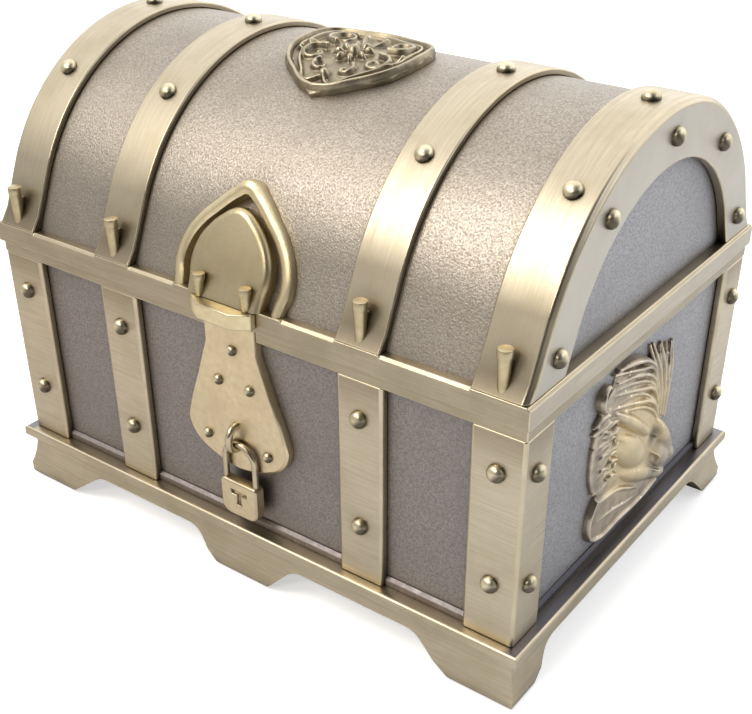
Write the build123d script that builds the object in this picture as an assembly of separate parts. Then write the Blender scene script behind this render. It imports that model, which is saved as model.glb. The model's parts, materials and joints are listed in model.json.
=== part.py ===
from build123d import *
from math import acos, cos, pi, radians, sin, sqrt, tan
import os

# A small cast-metal treasure chest trinket box, in millimetres.
# The origin is on the table, under the middle of the box. +X is the right end, -Y the front.

# Chest body, measured over the straps
body_width = 110.0
body_depth = 77.0
body_height = 39.8
wall = 1.8
strap_thickness = 1.5
parting_gap = 0.3
edge_break = 0.35
overrun = 6.0

# Straps on the body
strap_width = 8.65
strap_spacing = 51.8
corner_front_leg = 9.25
corner_end_leg = 8.0
rim_height = 1.9

# Rivets
rivet_radius = 1.5
rivet_height = 1.35
rivet_sink = 0.2
rivet_sides = 8
dome_ring_shares = [(1.0, 0.0), (0.8, 0.62), (0.38, 1.0)]
corner_rivet_inset = 4.6
end_rivet_inset = 3.6
upper_rivet_drop = 8.8
lower_rivet_rise = 10.7

# Plinth with its lip, cove skirt and feet
foot_height = 11.2
lip_overhang = 1.8
lip_thickness = 1.9
lip_round = 0.7
skirt_setback = 1.5
skirt_flare = 1.3
skirt_wall = 2.0
skirt_height = 5.9
foot_flat_height = 2.6
cove_share = 0.25
deck_margin = 2.5
corner_foot_front = 11.6
corner_foot_end = 6.6
corner_foot_run = 8.0
corner_foot_end_run = 5.6
middle_foot_width = 11.4
middle_foot_run = 5.7
foot_round = 3.0
foot_cove = 5.0
foot_outer_round = 0.8

# Small moulding along the foot of each panel
moulding_height = 1.7
moulding_depth = 0.7
moulding_round = 0.55

# Floor of the box and its felt
floor_thickness = 1.0
floor_clearance = 0.1
felt_thickness = 1.2
felt_clearance = 0.4

# Lid rail, the frame that closes on the body
rail_overhang = 0.65
rail_end_overhang = 0.4
rail_height = 3.8
rail_bevel = 0.5

# Arched lid, struck from a centre below the rail's top, on straight leaning flanks
band_foot_setback = 0.08
arch_centre_drop = 5.9
flank_lean = 24.0
band_relief = 1.1
barrel_wall = 1.6
band_width = 8.3
end_band_width = 9.25
ring_width = 9.1
ring_setback = 0.5
ring_bevel = 0.8
ring_thickness = 1.7
lid_end_thickness = 1.5
flare_height = 2.6
band_rivet_turns = (-36.0, 0.0, 36.0)
ring_rivet_turns = (-72.0, -36.0, 0.0, 36.0, 72.0)
ring_rivet_inset = 4.7

# Nail-shaped studs at the foot of each band and on the hasp
stud_head_radius = 1.2
stud_shank_top = 0.85
stud_shank_foot = 0.6
stud_rise = 6.6
stud_front_setback = 0.25
stud_edge_break = 0.4
stud_sides = 12
hasp_stud_place = 4.85
hasp_stud_head_radius = 1.05
hasp_stud_rise = 3.3
hasp_stud_reach = 3.3

# Hasp on the front of the lid, lying in a plane that leans back
hasp_lean = 23.0
hasp_plate_proud = 2.4
hasp_plate_half_width = 8.3
hasp_plate_height = 14.2
hasp_bow_proud = 1.5
hasp_bow_half_width = 12.2
hasp_bow_height = 18.5
hasp_bow_strip = 2.1
hasp_bow_tip_strip = 2.4
hasp_foot_reach = 3.0
hasp_edge_break = 0.5
bow_edge_break = 0.4
bracket_front_half_width = 3.45
bracket_side_half_width = 6.45
bracket_proud = 2.95
bracket_facet_depth = 1.8
bracket_height = 2.7
bracket_wall = 0.9
bracket_top_drop = 0.1

# Outlines of the hasp and the lock plate, as shares of half-width and height from the foot up
hasp_plate_outline_shares = [
    (0.93, 0.0), (1.0, 0.3), (0.93, 0.57), (0.7, 0.78), (0.42, 0.925), (0.21, 0.982), (0.0, 1.0),
]
hasp_bow_outline_shares = [
    (0.94, 0.0), (1.0, 0.2), (0.965, 0.4), (0.82, 0.59), (0.55, 0.78), (0.28, 0.93), (0.0, 1.0),
]
lock_plate_outline_shares = [
    (0.49, 0.835), (0.616, 0.694), (0.723, 0.57), (0.857, 0.435), (1.0, 0.25),
    (0.866, 0.127), (0.67, 0.07), (0.37, 0.025), (0.0, 0.0),
]

# Lock plate on the front of the body
lock_plate_proud = 0.2
lock_plate_half_width = 11.2
lock_plate_bottom = 11.4
lock_plate_edge_break = 0.4
lock_rivet_radius = 0.95
lock_rivet_height = 0.75
lock_rivet_place_shares = [(0.0, 0.88), (-0.3, 0.635), (0.3, 0.635), (-0.61, 0.205), (0.61, 0.205)]

# Staple on the lock plate, and the small padlock that hangs in it
staple_wire = 0.9
staple_radius = 2.3
staple_height = 18.0
wire_sides = 8
shackle_wire = 1.1
shackle_half_width = 3.3
shackle_leg = 4.1
shackle_plate_clearance = 0.2
shackle_staple_clearance = 0.1
padlock_slip = 1.1
padlock_width = 8.2
padlock_height = 7.1
padlock_thickness = 2.0
padlock_corner = 2.0
padlock_shoulder = 0.8
padlock_edge_break = 0.25
keyhole_drop = 1.7
keyhole_bar = 3.6
keyhole_bar_height = 0.95
keyhole_stem = 3.0
keyhole_stem_top = 0.8
keyhole_stem_foot = 1.2
keyhole_depth = 0.7

# Rear hinges, one on each rear strap
hinge_leaf_proud = 0.6
hinge_leaf_height = 6.4
hinge_knuckle_radius = 1.6
hinge_clearance = 0.2
hinge_pin_radius = 0.7
hinge_pin_clearance = 0.05
hinge_gap = 0.15
hinge_middle_share = 0.36
hinge_pin_proud = 0.3

# Lion's head in relief on each end, in profile towards the rear
lion_across = 2.0
lion_height = 17.5
lion_skull_length = 8.0
lion_skull_height = 7.0
lion_skull_relief = 2.2
muzzle_across = 6.3
muzzle_drop = 4.9
muzzle_length = 6.0
muzzle_width = 4.2
muzzle_relief = 2.7
muzzle_dip = 36.0
head_sides = 12
lock_count = 12
lock_root = 4.0
lock_reach = 15.4
lock_width = 4.8
lock_tip = 1.1
lock_sweep = 1.5
lock_relief = 1.4
lock_low_relief = 0.9
mane_start = 38.0
mane_end = 238.0
collar_left = 11.0
collar_right = 16.0
collar_low = 2.4
collar_high = 9.4
collar_corner = 3.3
collar_relief = 0.8

# Shield crest on top of the lid, most of it in front of the lid's middle
crest_half_width = 12.2
crest_tip = 16.8
crest_corner = 9.8
crest_shoulder = 3.5
crest_back = 6.5
crest_relief = 0.9
crest_rim = 1.2
crest_ornament_relief = 1.0
crest_flank_across_share = 0.47
crest_flank_along_share = 0.81
crest_corner_share = 0.88
crest_shoulder_share = 0.86
crest_arc_steps = 4
crest_facets = 12
crest_reach_turn = 36.0
scroll_middle = 4.4
scroll_radius = 2.7
scroll_wire = 1.1
scroll_opening = 90.0
scroll_sides = 12
scroll_spacing = 7.2
scroll_spread_share = 0.37
boss_radius = 1.8
bead_radius = 1.2
bead_place = 12.6

# Places that follow from the sizes above
half_width = body_width / 2
half_depth = body_depth / 2
panel_x = half_width - strap_thickness
panel_y = half_depth - strap_thickness
inner_x = panel_x - wall
inner_y = panel_y - wall
ledge = foot_height
parting = ledge + body_height
rim_top = parting - parting_gap / 2
rim_bottom = rim_top - rim_height
strap_x = strap_spacing / 2
corner_strap_inner_x = half_width - corner_front_leg
corner_rivet_x = half_width - corner_rivet_inset
upper_rivet_z = parting - upper_rivet_drop
lower_rivet_z = ledge + lower_rivet_rise
rail_bottom = parting + parting_gap / 2
rail_top = parting + rail_height
rail_x = half_width + rail_end_overhang
rail_y = half_depth + rail_overhang
ring_face_x = rail_x - ring_setback
lid_end_x = ring_face_x - ring_thickness
end_band_inner_x = ring_face_x - end_band_width
end_band_middle_x = (ring_face_x + end_band_inner_x) / 2
arch_centre_z = rail_top - arch_centre_drop
band_foot_y = half_depth - band_foot_setback
arch_radius = (band_foot_y + arch_centre_drop * tan(radians(flank_lean))) * cos(radians(flank_lean))
lock_plate_face_y = half_depth + lock_plate_proud
lock_plate_foot_z = ledge + lock_plate_bottom
lock_plate_height = rim_top - lock_plate_foot_z
lock_plate_neck = lock_plate_outline_shares[0][0] * lock_plate_half_width
lip_x = half_width + lip_overhang
lip_y = half_depth + lip_overhang
staple_z = ledge + staple_height
shackle_y = lock_plate_face_y + shackle_plate_clearance + shackle_wire / 2
shackle_play = staple_radius - staple_wire / 2 - shackle_wire / 2 - shackle_staple_clearance
shackle_hang_z = staple_z - sqrt(shackle_play**2 - (shackle_y - lock_plate_face_y) ** 2)
shackle_slip_drop = shackle_half_width - sqrt(shackle_half_width**2 - padlock_slip**2)
shackle_z = shackle_hang_z + shackle_slip_drop
case_top = shackle_z - shackle_half_width - shackle_leg
hinge_leaf_face_y = rail_y + hinge_leaf_proud
hinge_axis_y = hinge_leaf_face_y + hinge_clearance + hinge_knuckle_radius
lion_z = ledge + lion_height
far = body_width


def closed_face(curves):
    return make_face([edge for curve in curves for edge in curve.edges()])


def rounded_face(corners):
    """A closed outline of (across, up, radius) corners, each rounded by an arc of its radius."""
    curves = []
    ends = []
    count = len(corners)
    for index in range(count):
        here = Vector(*corners[index][:2])
        before = (Vector(*corners[index - 1][:2]) - here).normalized()
        after = (Vector(*corners[(index + 1) % count][:2]) - here).normalized()
        radius = corners[index][2]
        half_angle = acos(max(-1, min(1, before.dot(after)))) / 2
        start = here + before * (radius / tan(half_angle))
        end = here + after * (radius / tan(half_angle))
        if radius > 0:
            middle = here + (before + after).normalized() * (radius / sin(half_angle) - radius)
            curves.append(ThreePointArc(start, middle, end))
        ends.append((start, end))
    for index in range(count):
        curves.append(Line(ends[index][1], ends[(index + 1) % count][0]))
    return closed_face(curves)


def plain_face(points):
    return closed_face([Polyline(*points, close=True)])


def mirrored_x(shape):
    return mirror(shape, about=Plane.YZ)


def mirrored_y(shape):
    return mirror(shape, about=Plane.XZ)


def box_between(low, high):
    """A block given by its lowest and highest corners."""
    size = [high[axis] - low[axis] for axis in range(3)]
    centre = [(high[axis] + low[axis]) / 2 for axis in range(3)]
    return Pos(*centre) * Box(*size)


def run_along_x(face, x_low, x_high):
    """A face drawn in (y, z), run from one x to another."""
    return extrude(Plane.YZ.offset(x_low) * face, x_high - x_low)


def run_along_y(face, y_low, y_high):
    """A face drawn in (x, z), run from one y to another."""
    return extrude(Plane.XZ.offset(-y_high) * face, y_high - y_low)


def run_along_z(face, z_low, z_high):
    return extrude(Pos(0, 0, z_low) * face, z_high - z_low)


def rod_along_x(radius, x_low, x_high, y, z):
    return Pos((x_low + x_high) / 2, y, z) * Rot(0, 90, 0) * Cylinder(radius, x_high - x_low)


def frame(outer_x, outer_y, z_low, z_high):
    """A rectangular frame around the inside of the box."""
    outer = box_between((-outer_x, -outer_y, z_low), (outer_x, outer_y, z_high))
    inner = box_between((-inner_x, -inner_y, z_low - overrun), (inner_x, inner_y, z_high + overrun))
    return outer - inner


def flat_faced_block(rings):
    """A closed solid of flat faces between rings of points, each a scaled copy of the one below."""
    outlines = [rings[0], rings[-1]]
    count = len(rings[0])
    for lower, upper in zip(rings, rings[1:]):
        for index in range(count):
            after = (index + 1) % count
            outlines.append((lower[index], lower[after], upper[after], upper[index]))
    return Solid(Shell([plain_face(outline).face() for outline in outlines]))


def faceted_dome(half_across, half_up, height, sides, sink=0):
    """A low dome of flat facets that stands on the XY plane, or starts a little below it."""
    rings = []
    for spread, rise in dome_ring_shares:
        z = rise * height if rise else -sink
        ring = []
        for index in range(sides):
            turn = 2 * pi * index / sides
            ring.append((half_across * spread * cos(turn), half_up * spread * sin(turn), z))
        rings.append(ring)
    return flat_faced_block(rings)


def rivet(place, outward, sink=0):
    """A domed rivet head at a place, its root sunk into a curved surface."""
    sideways = (0, 0, 1) if outward[0] else (1, 0, 0)
    seat = Plane(origin=place, x_dir=sideways, z_dir=outward)
    return seat.location * faceted_dome(rivet_radius, rivet_radius, rivet_height, rivet_sides, sink)


def arc_chain(points):
    """Arcs through an odd number of points, each arc through three of them."""
    return [ThreePointArc(*points[index : index + 3]) for index in range(0, len(points) - 2, 2)]


def bevelled_block(plane, depth, bevel, wide_outline, narrow_outline):
    """A block behind a plane, whose outline draws in from wide to narrow over the bevel."""
    behind = plane.offset(-bevel)
    block = extrude(behind * wide_outline, -depth)
    return block + loft([behind * wide_outline, plane * narrow_outline], ruled=True)


def half_ring(ring_radius, wire):
    """Half a ring of wire in the XZ plane, standing on Z = 0."""
    section = Pos(ring_radius, 0) * RegularPolygon(wire / 2, wire_sides)
    return revolve(section, Axis((0, 0, 0), (0, -1, 0)), 180)


# Arch of the lid


def arch_foot_y(inset):
    """Half-width of the arch at the rail's top."""
    radius = arch_radius - inset
    lean = radians(flank_lean)
    rise = arch_centre_drop - radius * sin(lean)
    return radius * cos(lean) - rise * tan(lean)


def arch_face(inset, flared=False):
    """The arch in (y, z): an arc on straight flanks, whose feet may flare to the rail's face."""
    radius = arch_radius - inset
    lean = radians(flank_lean)
    turn_y = radius * cos(lean)
    turn_z = arch_centre_z + radius * sin(lean)
    foot_y = arch_foot_y(inset)
    flank = [(turn_y, turn_z), (foot_y, rail_top)]
    if flared:
        flare_y = foot_y - flare_height * tan(lean)
        flank = [(turn_y, turn_z), (flare_y, rail_top + flare_height), (rail_y, rail_top)]
    other_flank = [(-across, up) for across, up in flank]
    crown = ThreePointArc(other_flank[0], (0, arch_centre_z + radius), flank[0])
    base = Line(other_flank[-1], flank[-1])
    return closed_face([Polyline(*flank), Polyline(*other_flank), crown, base])


def arch_point(radius, turn):
    """A point on the arch, turned from straight up towards the rear."""
    return radius * sin(radians(turn)), arch_centre_z + radius * cos(radians(turn))


def above_rail(shape):
    return shape & box_between((-far, -far, rail_top), (far, far, far))


# Plinth, panels and floor


def plinth_section(half_outer):
    """Section of the solid plinth: a rounded lip over a cove that spreads to the feet."""
    lip = half_outer + lip_overhang
    neck = lip - skirt_setback
    foot = neck + skirt_flare
    under_lip = ledge - lip_thickness
    diagonal = lip_round * (1 - cos(pi / 4))
    cove_middle = (neck + skirt_flare * cove_share, (under_lip + foot_flat_height) / 2)
    lip_start = (lip - lip_round, ledge)
    lip_end = (lip, ledge - lip_round)
    right = [
        Line((0, ledge), lip_start),
        ThreePointArc(lip_start, (lip - diagonal, ledge - diagonal), lip_end),
        Polyline(lip_end, (lip, under_lip), (neck, under_lip)),
        ThreePointArc((neck, under_lip), cove_middle, (foot, foot_flat_height)),
        Polyline((foot, foot_flat_height), (foot, 0), (0, 0)),
    ]
    return closed_face(right + [mirrored_x(curve) for curve in right])


def skirt_outline(half_outer, corner_flat, corner_run, middle_flat, middle_run):
    """Elevation of one side of the skirt, with its feet; the lip above is left whole."""
    reach = half_outer + lip_overhang + overrun
    outer = half_outer + lip_overhang - skirt_setback + skirt_flare
    inner = outer - corner_flat
    half = [
        (reach, foot_flat_height, 0),
        (outer, foot_flat_height, 0),
        (outer, 0, foot_outer_round),
        (inner, 0, foot_round),
        (inner - corner_run, skirt_height, foot_cove),
    ]
    if middle_flat > 0:
        half.append((middle_flat / 2 + middle_run, skirt_height, foot_cove))
        half.append((middle_flat / 2, 0, foot_round))
    other_half = [(-across, up, radius) for across, up, radius in reversed(half)]
    top = [(-reach, ledge + overrun, 0), (reach, ledge + overrun, 0)]
    return rounded_face(half + other_half + top)


def make_plinth():
    front_and_rear = run_along_x(plinth_section(half_depth), -far, far)
    ends = run_along_y(plinth_section(half_width), -far, far)
    front_cut = skirt_outline(
        half_width, corner_foot_front, corner_foot_run, middle_foot_width, middle_foot_run
    )
    end_cut = skirt_outline(half_depth, corner_foot_end, corner_foot_end_run, 0, 0)
    block = front_and_rear & ends & run_along_y(front_cut, -far, far) & run_along_x(end_cut, -far, far)
    inset = skirt_setback + skirt_wall
    under_deck = ledge - lip_thickness
    hollow_x = lip_x - inset
    hollow_y = lip_y - inset
    hollow = box_between((-hollow_x, -hollow_y, -overrun), (hollow_x, hollow_y, under_deck))
    window_x = inner_x - deck_margin
    window_y = inner_y - deck_margin
    window = box_between((-window_x, -window_y, 0), (window_x, window_y, ledge + overrun))
    return block - hollow - window


def make_floor_plate():
    reach_x = inner_x - floor_clearance
    reach_y = inner_y - floor_clearance
    return box_between((-reach_x, -reach_y, ledge), (reach_x, reach_y, ledge + floor_thickness))


def make_floor_felt():
    reach_x = inner_x - felt_clearance
    reach_y = inner_y - felt_clearance
    low = ledge + floor_thickness
    return box_between((-reach_x, -reach_y, low), (reach_x, reach_y, low + felt_thickness))


def make_front_panel():
    return box_between((-panel_x, -panel_y, ledge), (panel_x, -inner_y, rim_bottom))


def make_right_panel():
    return box_between((inner_x, -inner_y, ledge), (panel_x, inner_y, rim_bottom))


def make_body_rim():
    """The frame on top of the panels and straps, cut away for the neck of the lock plate."""
    notch = box_between(
        (-lock_plate_neck, -half_depth - overrun, rim_bottom - overrun),
        (lock_plate_neck, -panel_y, rim_top + overrun),
    )
    return frame(half_width, half_depth, rim_bottom, rim_top) - notch


def moulding_strip(length):
    """A small strip along X, its upper edge bevelled, its back on the plane Y = 0, facing the front."""
    section = plain_face([
        (0, 0),
        (-moulding_depth, 0),
        (-moulding_depth, moulding_height - moulding_round),
        (moulding_round - moulding_depth, moulding_height),
        (0, moulding_height),
    ])
    return run_along_x(section, -length / 2, length / 2)


def make_base_moulding():
    """Strips along the foot of each panel, between the straps."""
    bay_low = strap_x + strap_width / 2
    bay_middle = (bay_low + corner_strap_inner_x) / 2
    front = [Pos(0, -panel_y, ledge) * moulding_strip(strap_spacing - strap_width)]
    for side in (-1, 1):
        strip = moulding_strip(corner_strap_inner_x - bay_low)
        front.append(Pos(side * bay_middle, -panel_y, ledge) * strip)
    end = Pos(panel_x, 0, ledge) * Rot(0, 0, 90) * moulding_strip(body_depth - 2 * corner_end_leg)
    return Compound(front + [mirrored_y(strip) for strip in front] + [end, mirrored_x(end)])


# Straps and rivets of the body


def make_corner_strap():
    """The angle strap on the front right corner."""
    end_leg_y = corner_end_leg - half_depth
    outline = plain_face([
        (corner_strap_inner_x, -panel_y),
        (corner_strap_inner_x, edge_break - half_depth),
        (corner_strap_inner_x + edge_break, -half_depth),
        (half_width - edge_break, -half_depth),
        (half_width, edge_break - half_depth),
        (half_width, end_leg_y - edge_break),
        (half_width - edge_break, end_leg_y),
        (panel_x, end_leg_y),
        (panel_x, -panel_y),
    ])
    return run_along_z(outline, ledge, rim_bottom)


def make_front_strap():
    """The strap on the right of the front."""
    low = strap_x - strap_width / 2
    high = strap_x + strap_width / 2
    outline = plain_face([
        (low, -panel_y),
        (low, edge_break - half_depth),
        (low + edge_break, -half_depth),
        (high - edge_break, -half_depth),
        (high, edge_break - half_depth),
        (high, -panel_y),
    ])
    return run_along_z(outline, ledge, rim_bottom)


def make_front_rivets():
    heads = []
    for x in (-corner_rivet_x, -strap_x, strap_x, corner_rivet_x):
        for z in (lower_rivet_z, upper_rivet_z):
            heads.append(rivet((x, -half_depth, z), (0, -1, 0)))
    return Compound(heads)


def make_right_end_rivets():
    heads = []
    for y in (end_rivet_inset - half_depth, half_depth - end_rivet_inset):
        for z in (lower_rivet_z, upper_rivet_z):
            heads.append(rivet((half_width, y, z), (1, 0, 0)))
    return Compound(heads)


# Lock plate, staple and padlock


def share_points(shares, half_span, height, foot_z=0):
    return [(across * half_span, foot_z + up * height) for across, up in shares]


def lock_plate_outline(inset):
    half_span = lock_plate_half_width - inset
    height = lock_plate_height - inset
    points = share_points(lock_plate_outline_shares, half_span, height, lock_plate_foot_z + inset)
    right = [Polyline((0, rim_top), (points[0][0], rim_top), points[0])] + arc_chain(points)
    return closed_face(right + [mirrored_x(curve) for curve in right])


def make_lock_plate():
    """A bell-shaped plate whose neck runs up to the top of the rim."""
    front = Plane.XZ.offset(lock_plate_face_y)
    depth = lock_plate_face_y - lock_plate_edge_break - panel_y
    wide = lock_plate_outline(0)
    narrow = lock_plate_outline(lock_plate_edge_break)
    return bevelled_block(front, depth, lock_plate_edge_break, wide, narrow)


def make_lock_plate_rivets():
    heads = []
    head = faceted_dome(lock_rivet_radius, lock_rivet_radius, lock_rivet_height, wire_sides)
    for across, z in share_points(
        lock_rivet_place_shares, lock_plate_half_width, lock_plate_height, lock_plate_foot_z
    ):
        seat = Plane(origin=(across, -lock_plate_face_y, z), x_dir=(1, 0, 0), z_dir=(0, -1, 0))
        heads.append(seat.location * head)
    return Compound(heads)


def make_lock_staple():
    """Half a ring that stands out from the lock plate in the middle plane of the box."""
    seat = Plane(origin=(0, -lock_plate_face_y, staple_z), x_dir=(0, 0, -1), z_dir=(0, -1, 0))
    return seat.location * half_ring(staple_radius, staple_wire)


def make_padlock_shackle():
    bow = half_ring(shackle_half_width, shackle_wire)
    for side in (-1, 1):
        section = Pos(side * shackle_half_width, 0) * RegularPolygon(shackle_wire / 2, wire_sides)
        bow += extrude(section, -shackle_leg)
    return Pos(padlock_slip, -shackle_y, shackle_z - shackle_half_width) * bow


def make_padlock_case():
    half = padlock_width / 2
    foot = case_top - padlock_height
    corners = [
        (-half, case_top, padlock_shoulder),
        (half, case_top, padlock_shoulder),
        (half, foot, padlock_corner),
        (-half, foot, padlock_corner),
    ]
    back_y = padlock_thickness / 2 - shackle_y
    front_y = -padlock_thickness / 2 - shackle_y
    case = run_along_y(rounded_face(corners), front_y, back_y)
    case = chamfer(case.faces().sort_by(Axis.Y)[0].edges(), padlock_edge_break)
    slot_top = case_top - keyhole_drop
    slot_low = slot_top - keyhole_bar_height
    stem_low = slot_top - keyhole_stem
    keyhole = plain_face([
        (-keyhole_bar / 2, slot_top),
        (keyhole_bar / 2, slot_top),
        (keyhole_bar / 2, slot_low),
        (keyhole_stem_top / 2, slot_low),
        (keyhole_stem_foot / 2, stem_low),
        (-keyhole_stem_foot / 2, stem_low),
        (-keyhole_stem_top / 2, slot_low),
        (-keyhole_bar / 2, slot_low),
    ])
    case -= run_along_y(keyhole, front_y - overrun, front_y + keyhole_depth)
    return Pos(padlock_slip, 0, 0) * case


# Rear hinges


def hinge_spans():
    """Where the two body knuckles and the lid knuckle between them lie along X."""
    low = strap_x - strap_width / 2
    high = strap_x + strap_width / 2
    middle = strap_width * hinge_middle_share / 2
    body_spans = [(low, strap_x - middle - hinge_gap), (strap_x + middle + hinge_gap, high)]
    return body_spans, (strap_x - middle, strap_x + middle)


def hinge_bore():
    bore = hinge_pin_radius + hinge_pin_clearance
    return rod_along_x(bore, -far, far, hinge_axis_y, parting)


def make_hinge_body_leaf():
    body_spans, _ = hinge_spans()
    low = strap_x - strap_width / 2
    high = strap_x + strap_width / 2
    foot = parting - hinge_leaf_height
    leaf = box_between((low, half_depth, foot), (high, hinge_leaf_face_y, rim_top))
    for span in body_spans:
        leaf += rod_along_x(hinge_knuckle_radius, span[0], span[1], hinge_axis_y, parting)
        arm_low = (span[0], hinge_leaf_face_y, parting - hinge_knuckle_radius)
        leaf += box_between(arm_low, (span[1], hinge_axis_y, rim_top))
    return leaf - hinge_bore()


def make_hinge_lid_leaf():
    _, span = hinge_spans()
    low = strap_x - strap_width / 2
    high = strap_x + strap_width / 2
    leaf = box_between((low, rail_y, rail_bottom), (high, hinge_leaf_face_y, rail_top - rail_bevel))
    leaf += rod_along_x(hinge_knuckle_radius, span[0], span[1], hinge_axis_y, parting)
    arm_high = (span[1], hinge_axis_y, parting + hinge_knuckle_radius)
    leaf += box_between((span[0], hinge_leaf_face_y, rail_bottom), arm_high)
    return leaf - hinge_bore()


def make_hinge_pin():
    low = strap_x - strap_width / 2 - hinge_pin_proud
    high = strap_x + strap_width / 2 + hinge_pin_proud
    return rod_along_x(hinge_pin_radius, low, high, hinge_axis_y, parting)


# Lid


def make_lid_rail():
    """The frame at the foot of the lid, its top edge bevelled wherever nothing stands on it."""
    rail = frame(rail_x, rail_y, rail_bottom, rail_top)
    bevel = plain_face([
        (-rail_y, rail_top - rail_bevel),
        (rail_bevel - rail_y, rail_top),
        (rail_bevel - rail_y, rail_top + overrun),
        (-rail_y - overrun, rail_top + overrun),
        (-rail_y - overrun, rail_top - rail_bevel),
    ])
    hasp_foot = hasp_bow_outline_shares[0][0] * hasp_bow_half_width
    bays = [(hasp_foot, strap_x - band_width / 2), (strap_x + band_width / 2, end_band_inner_x)]
    for low, high in bays:
        cut = run_along_x(bevel, low, high)
        for one_cut in (cut, mirrored_x(cut), mirrored_y(cut), mirrored_x(mirrored_y(cut))):
            rail -= one_cut
    end_cut = plain_face([
        (rail_x, rail_top - rail_bevel),
        (rail_x + overrun, rail_top - rail_bevel),
        (rail_x + overrun, rail_top + overrun),
        (rail_x - rail_bevel, rail_top + overrun),
        (rail_x - rail_bevel, rail_top),
    ])
    end_bevel = run_along_y(end_cut, -far, far)
    return rail - end_bevel - mirrored_x(end_bevel)


def make_lid_barrel():
    outer = run_along_x(arch_face(band_relief), -lid_end_x, lid_end_x)
    return outer - run_along_x(arch_face(band_relief + barrel_wall), -far, far)


def make_right_lid_end():
    return run_along_x(arch_face(band_relief + barrel_wall), lid_end_x - lid_end_thickness, lid_end_x)


def make_mid_band():
    """The band on the right of the middle."""
    low = strap_x - band_width / 2
    high = strap_x + band_width / 2
    band = run_along_x(arch_face(0, flared=True), low, high)
    return band - run_along_x(arch_face(band_relief), -far, far)


def make_right_end_band():
    """The right-hand band, which turns over the lid's end as a flat ring."""
    band = run_along_x(arch_face(0, flared=True), end_band_inner_x, ring_face_x)
    outer_edges = band.faces().sort_by(Axis.X)[-1].edges()
    band = chamfer([edge for edge in outer_edges if edge.center().Z > rail_top], ring_bevel)
    over_barrel = run_along_x(arch_face(band_relief), -far, lid_end_x)
    return band - over_barrel - run_along_x(arch_face(ring_width), -far, far)


def make_band_rivets():
    heads = []
    for x in (-end_band_middle_x, -strap_x, strap_x, end_band_middle_x):
        for turn in band_rivet_turns:
            y, z = arch_point(arch_radius, turn)
            heads.append(rivet((x, y, z), (0, y, z - arch_centre_z), rivet_sink))
    return Compound(heads) - run_along_x(arch_face(0), -far, far)


def make_right_arch_rivets():
    heads = []
    for turn in ring_rivet_turns:
        y, z = arch_point(arch_radius - ring_rivet_inset, turn)
        heads.append(rivet((ring_face_x, y, z), (1, 0, 0)))
    return Compound(heads)


def nail_stud(x, head_radius, rise, front_y):
    """A nail-shaped stud seen from the front, run back from its face."""
    shank_top = stud_shank_top * head_radius / stud_head_radius
    shank_foot = stud_shank_foot * head_radius / stud_head_radius
    shank = plain_face([
        (-shank_foot, rail_top - overrun),
        (shank_foot, rail_top - overrun),
        (shank_foot, rail_top),
        (shank_top, rail_top + rise),
        (-shank_top, rail_top + rise),
        (-shank_foot, rail_top),
    ])
    outline = shank + Pos(0, rail_top + rise) * RegularPolygon(head_radius, stud_sides)
    stud = run_along_y(outline, -front_y, -front_y + overrun)
    stud = chamfer(stud.faces().sort_by(Axis.Y)[0].edges(), stud_edge_break)
    return Pos(x, 0, 0) * stud


def make_band_studs():
    studs = []
    envelope = run_along_x(arch_face(0, flared=True), -far, far)
    for x in (-end_band_middle_x, -strap_x, strap_x, end_band_middle_x):
        stud = nail_stud(x, stud_head_radius, stud_rise, rail_y - stud_front_setback)
        stud = above_rail(stud) - envelope
        studs.append(stud)
        studs.append(mirrored_y(stud))
    return Compound(studs)


# Hasp


def hasp_outline(shares, half_span, height):
    """An arched outline in the hasp's leaning plane, its foot run down past the rail."""
    points = share_points(shares, half_span, height)
    right = [Polyline((0, -hasp_foot_reach), (points[0][0], -hasp_foot_reach), points[0])]
    right += arc_chain(points)
    return closed_face(right + [mirrored_x(curve) for curve in right])


def hasp_plane(proud):
    """The leaning plane at a height over the foot of the barrel's flank."""
    lean = radians(hasp_lean)
    foot = (0, -arch_foot_y(band_relief), rail_top)
    return Plane(origin=foot, x_dir=(1, 0, 0), z_dir=(0, -cos(lean), sin(lean))).offset(proud)


def make_hasp_plate():
    shares = hasp_plate_outline_shares
    wide = hasp_outline(shares, hasp_plate_half_width, hasp_plate_height)
    narrow = hasp_outline(
        shares, hasp_plate_half_width - hasp_edge_break, hasp_plate_height - hasp_edge_break
    )
    block = bevelled_block(hasp_plane(hasp_plate_proud), overrun, hasp_edge_break, wide, narrow)
    return above_rail(block) - run_along_x(arch_face(band_relief), -far, far)


def make_hasp_bow():
    """The strip that runs around the plate, in the shape of an arch."""
    shares = hasp_bow_outline_shares
    front = hasp_plane(hasp_bow_proud)
    wide = hasp_outline(shares, hasp_bow_half_width, hasp_bow_height)
    narrow = hasp_outline(shares, hasp_bow_half_width - bow_edge_break, hasp_bow_height - bow_edge_break)
    block = bevelled_block(front, overrun, bow_edge_break, wide, narrow)
    inner_half_width = hasp_bow_half_width - hasp_bow_strip
    inner_height = hasp_bow_height - hasp_bow_tip_strip
    hole = hasp_outline(shares, inner_half_width, inner_height)
    mouth = hasp_outline(shares, inner_half_width + bow_edge_break, inner_height + bow_edge_break)
    cut = bevelled_block(front, overrun, bow_edge_break, hole, mouth)
    return above_rail(block - cut) - run_along_x(arch_face(band_relief), -far, far)


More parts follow.
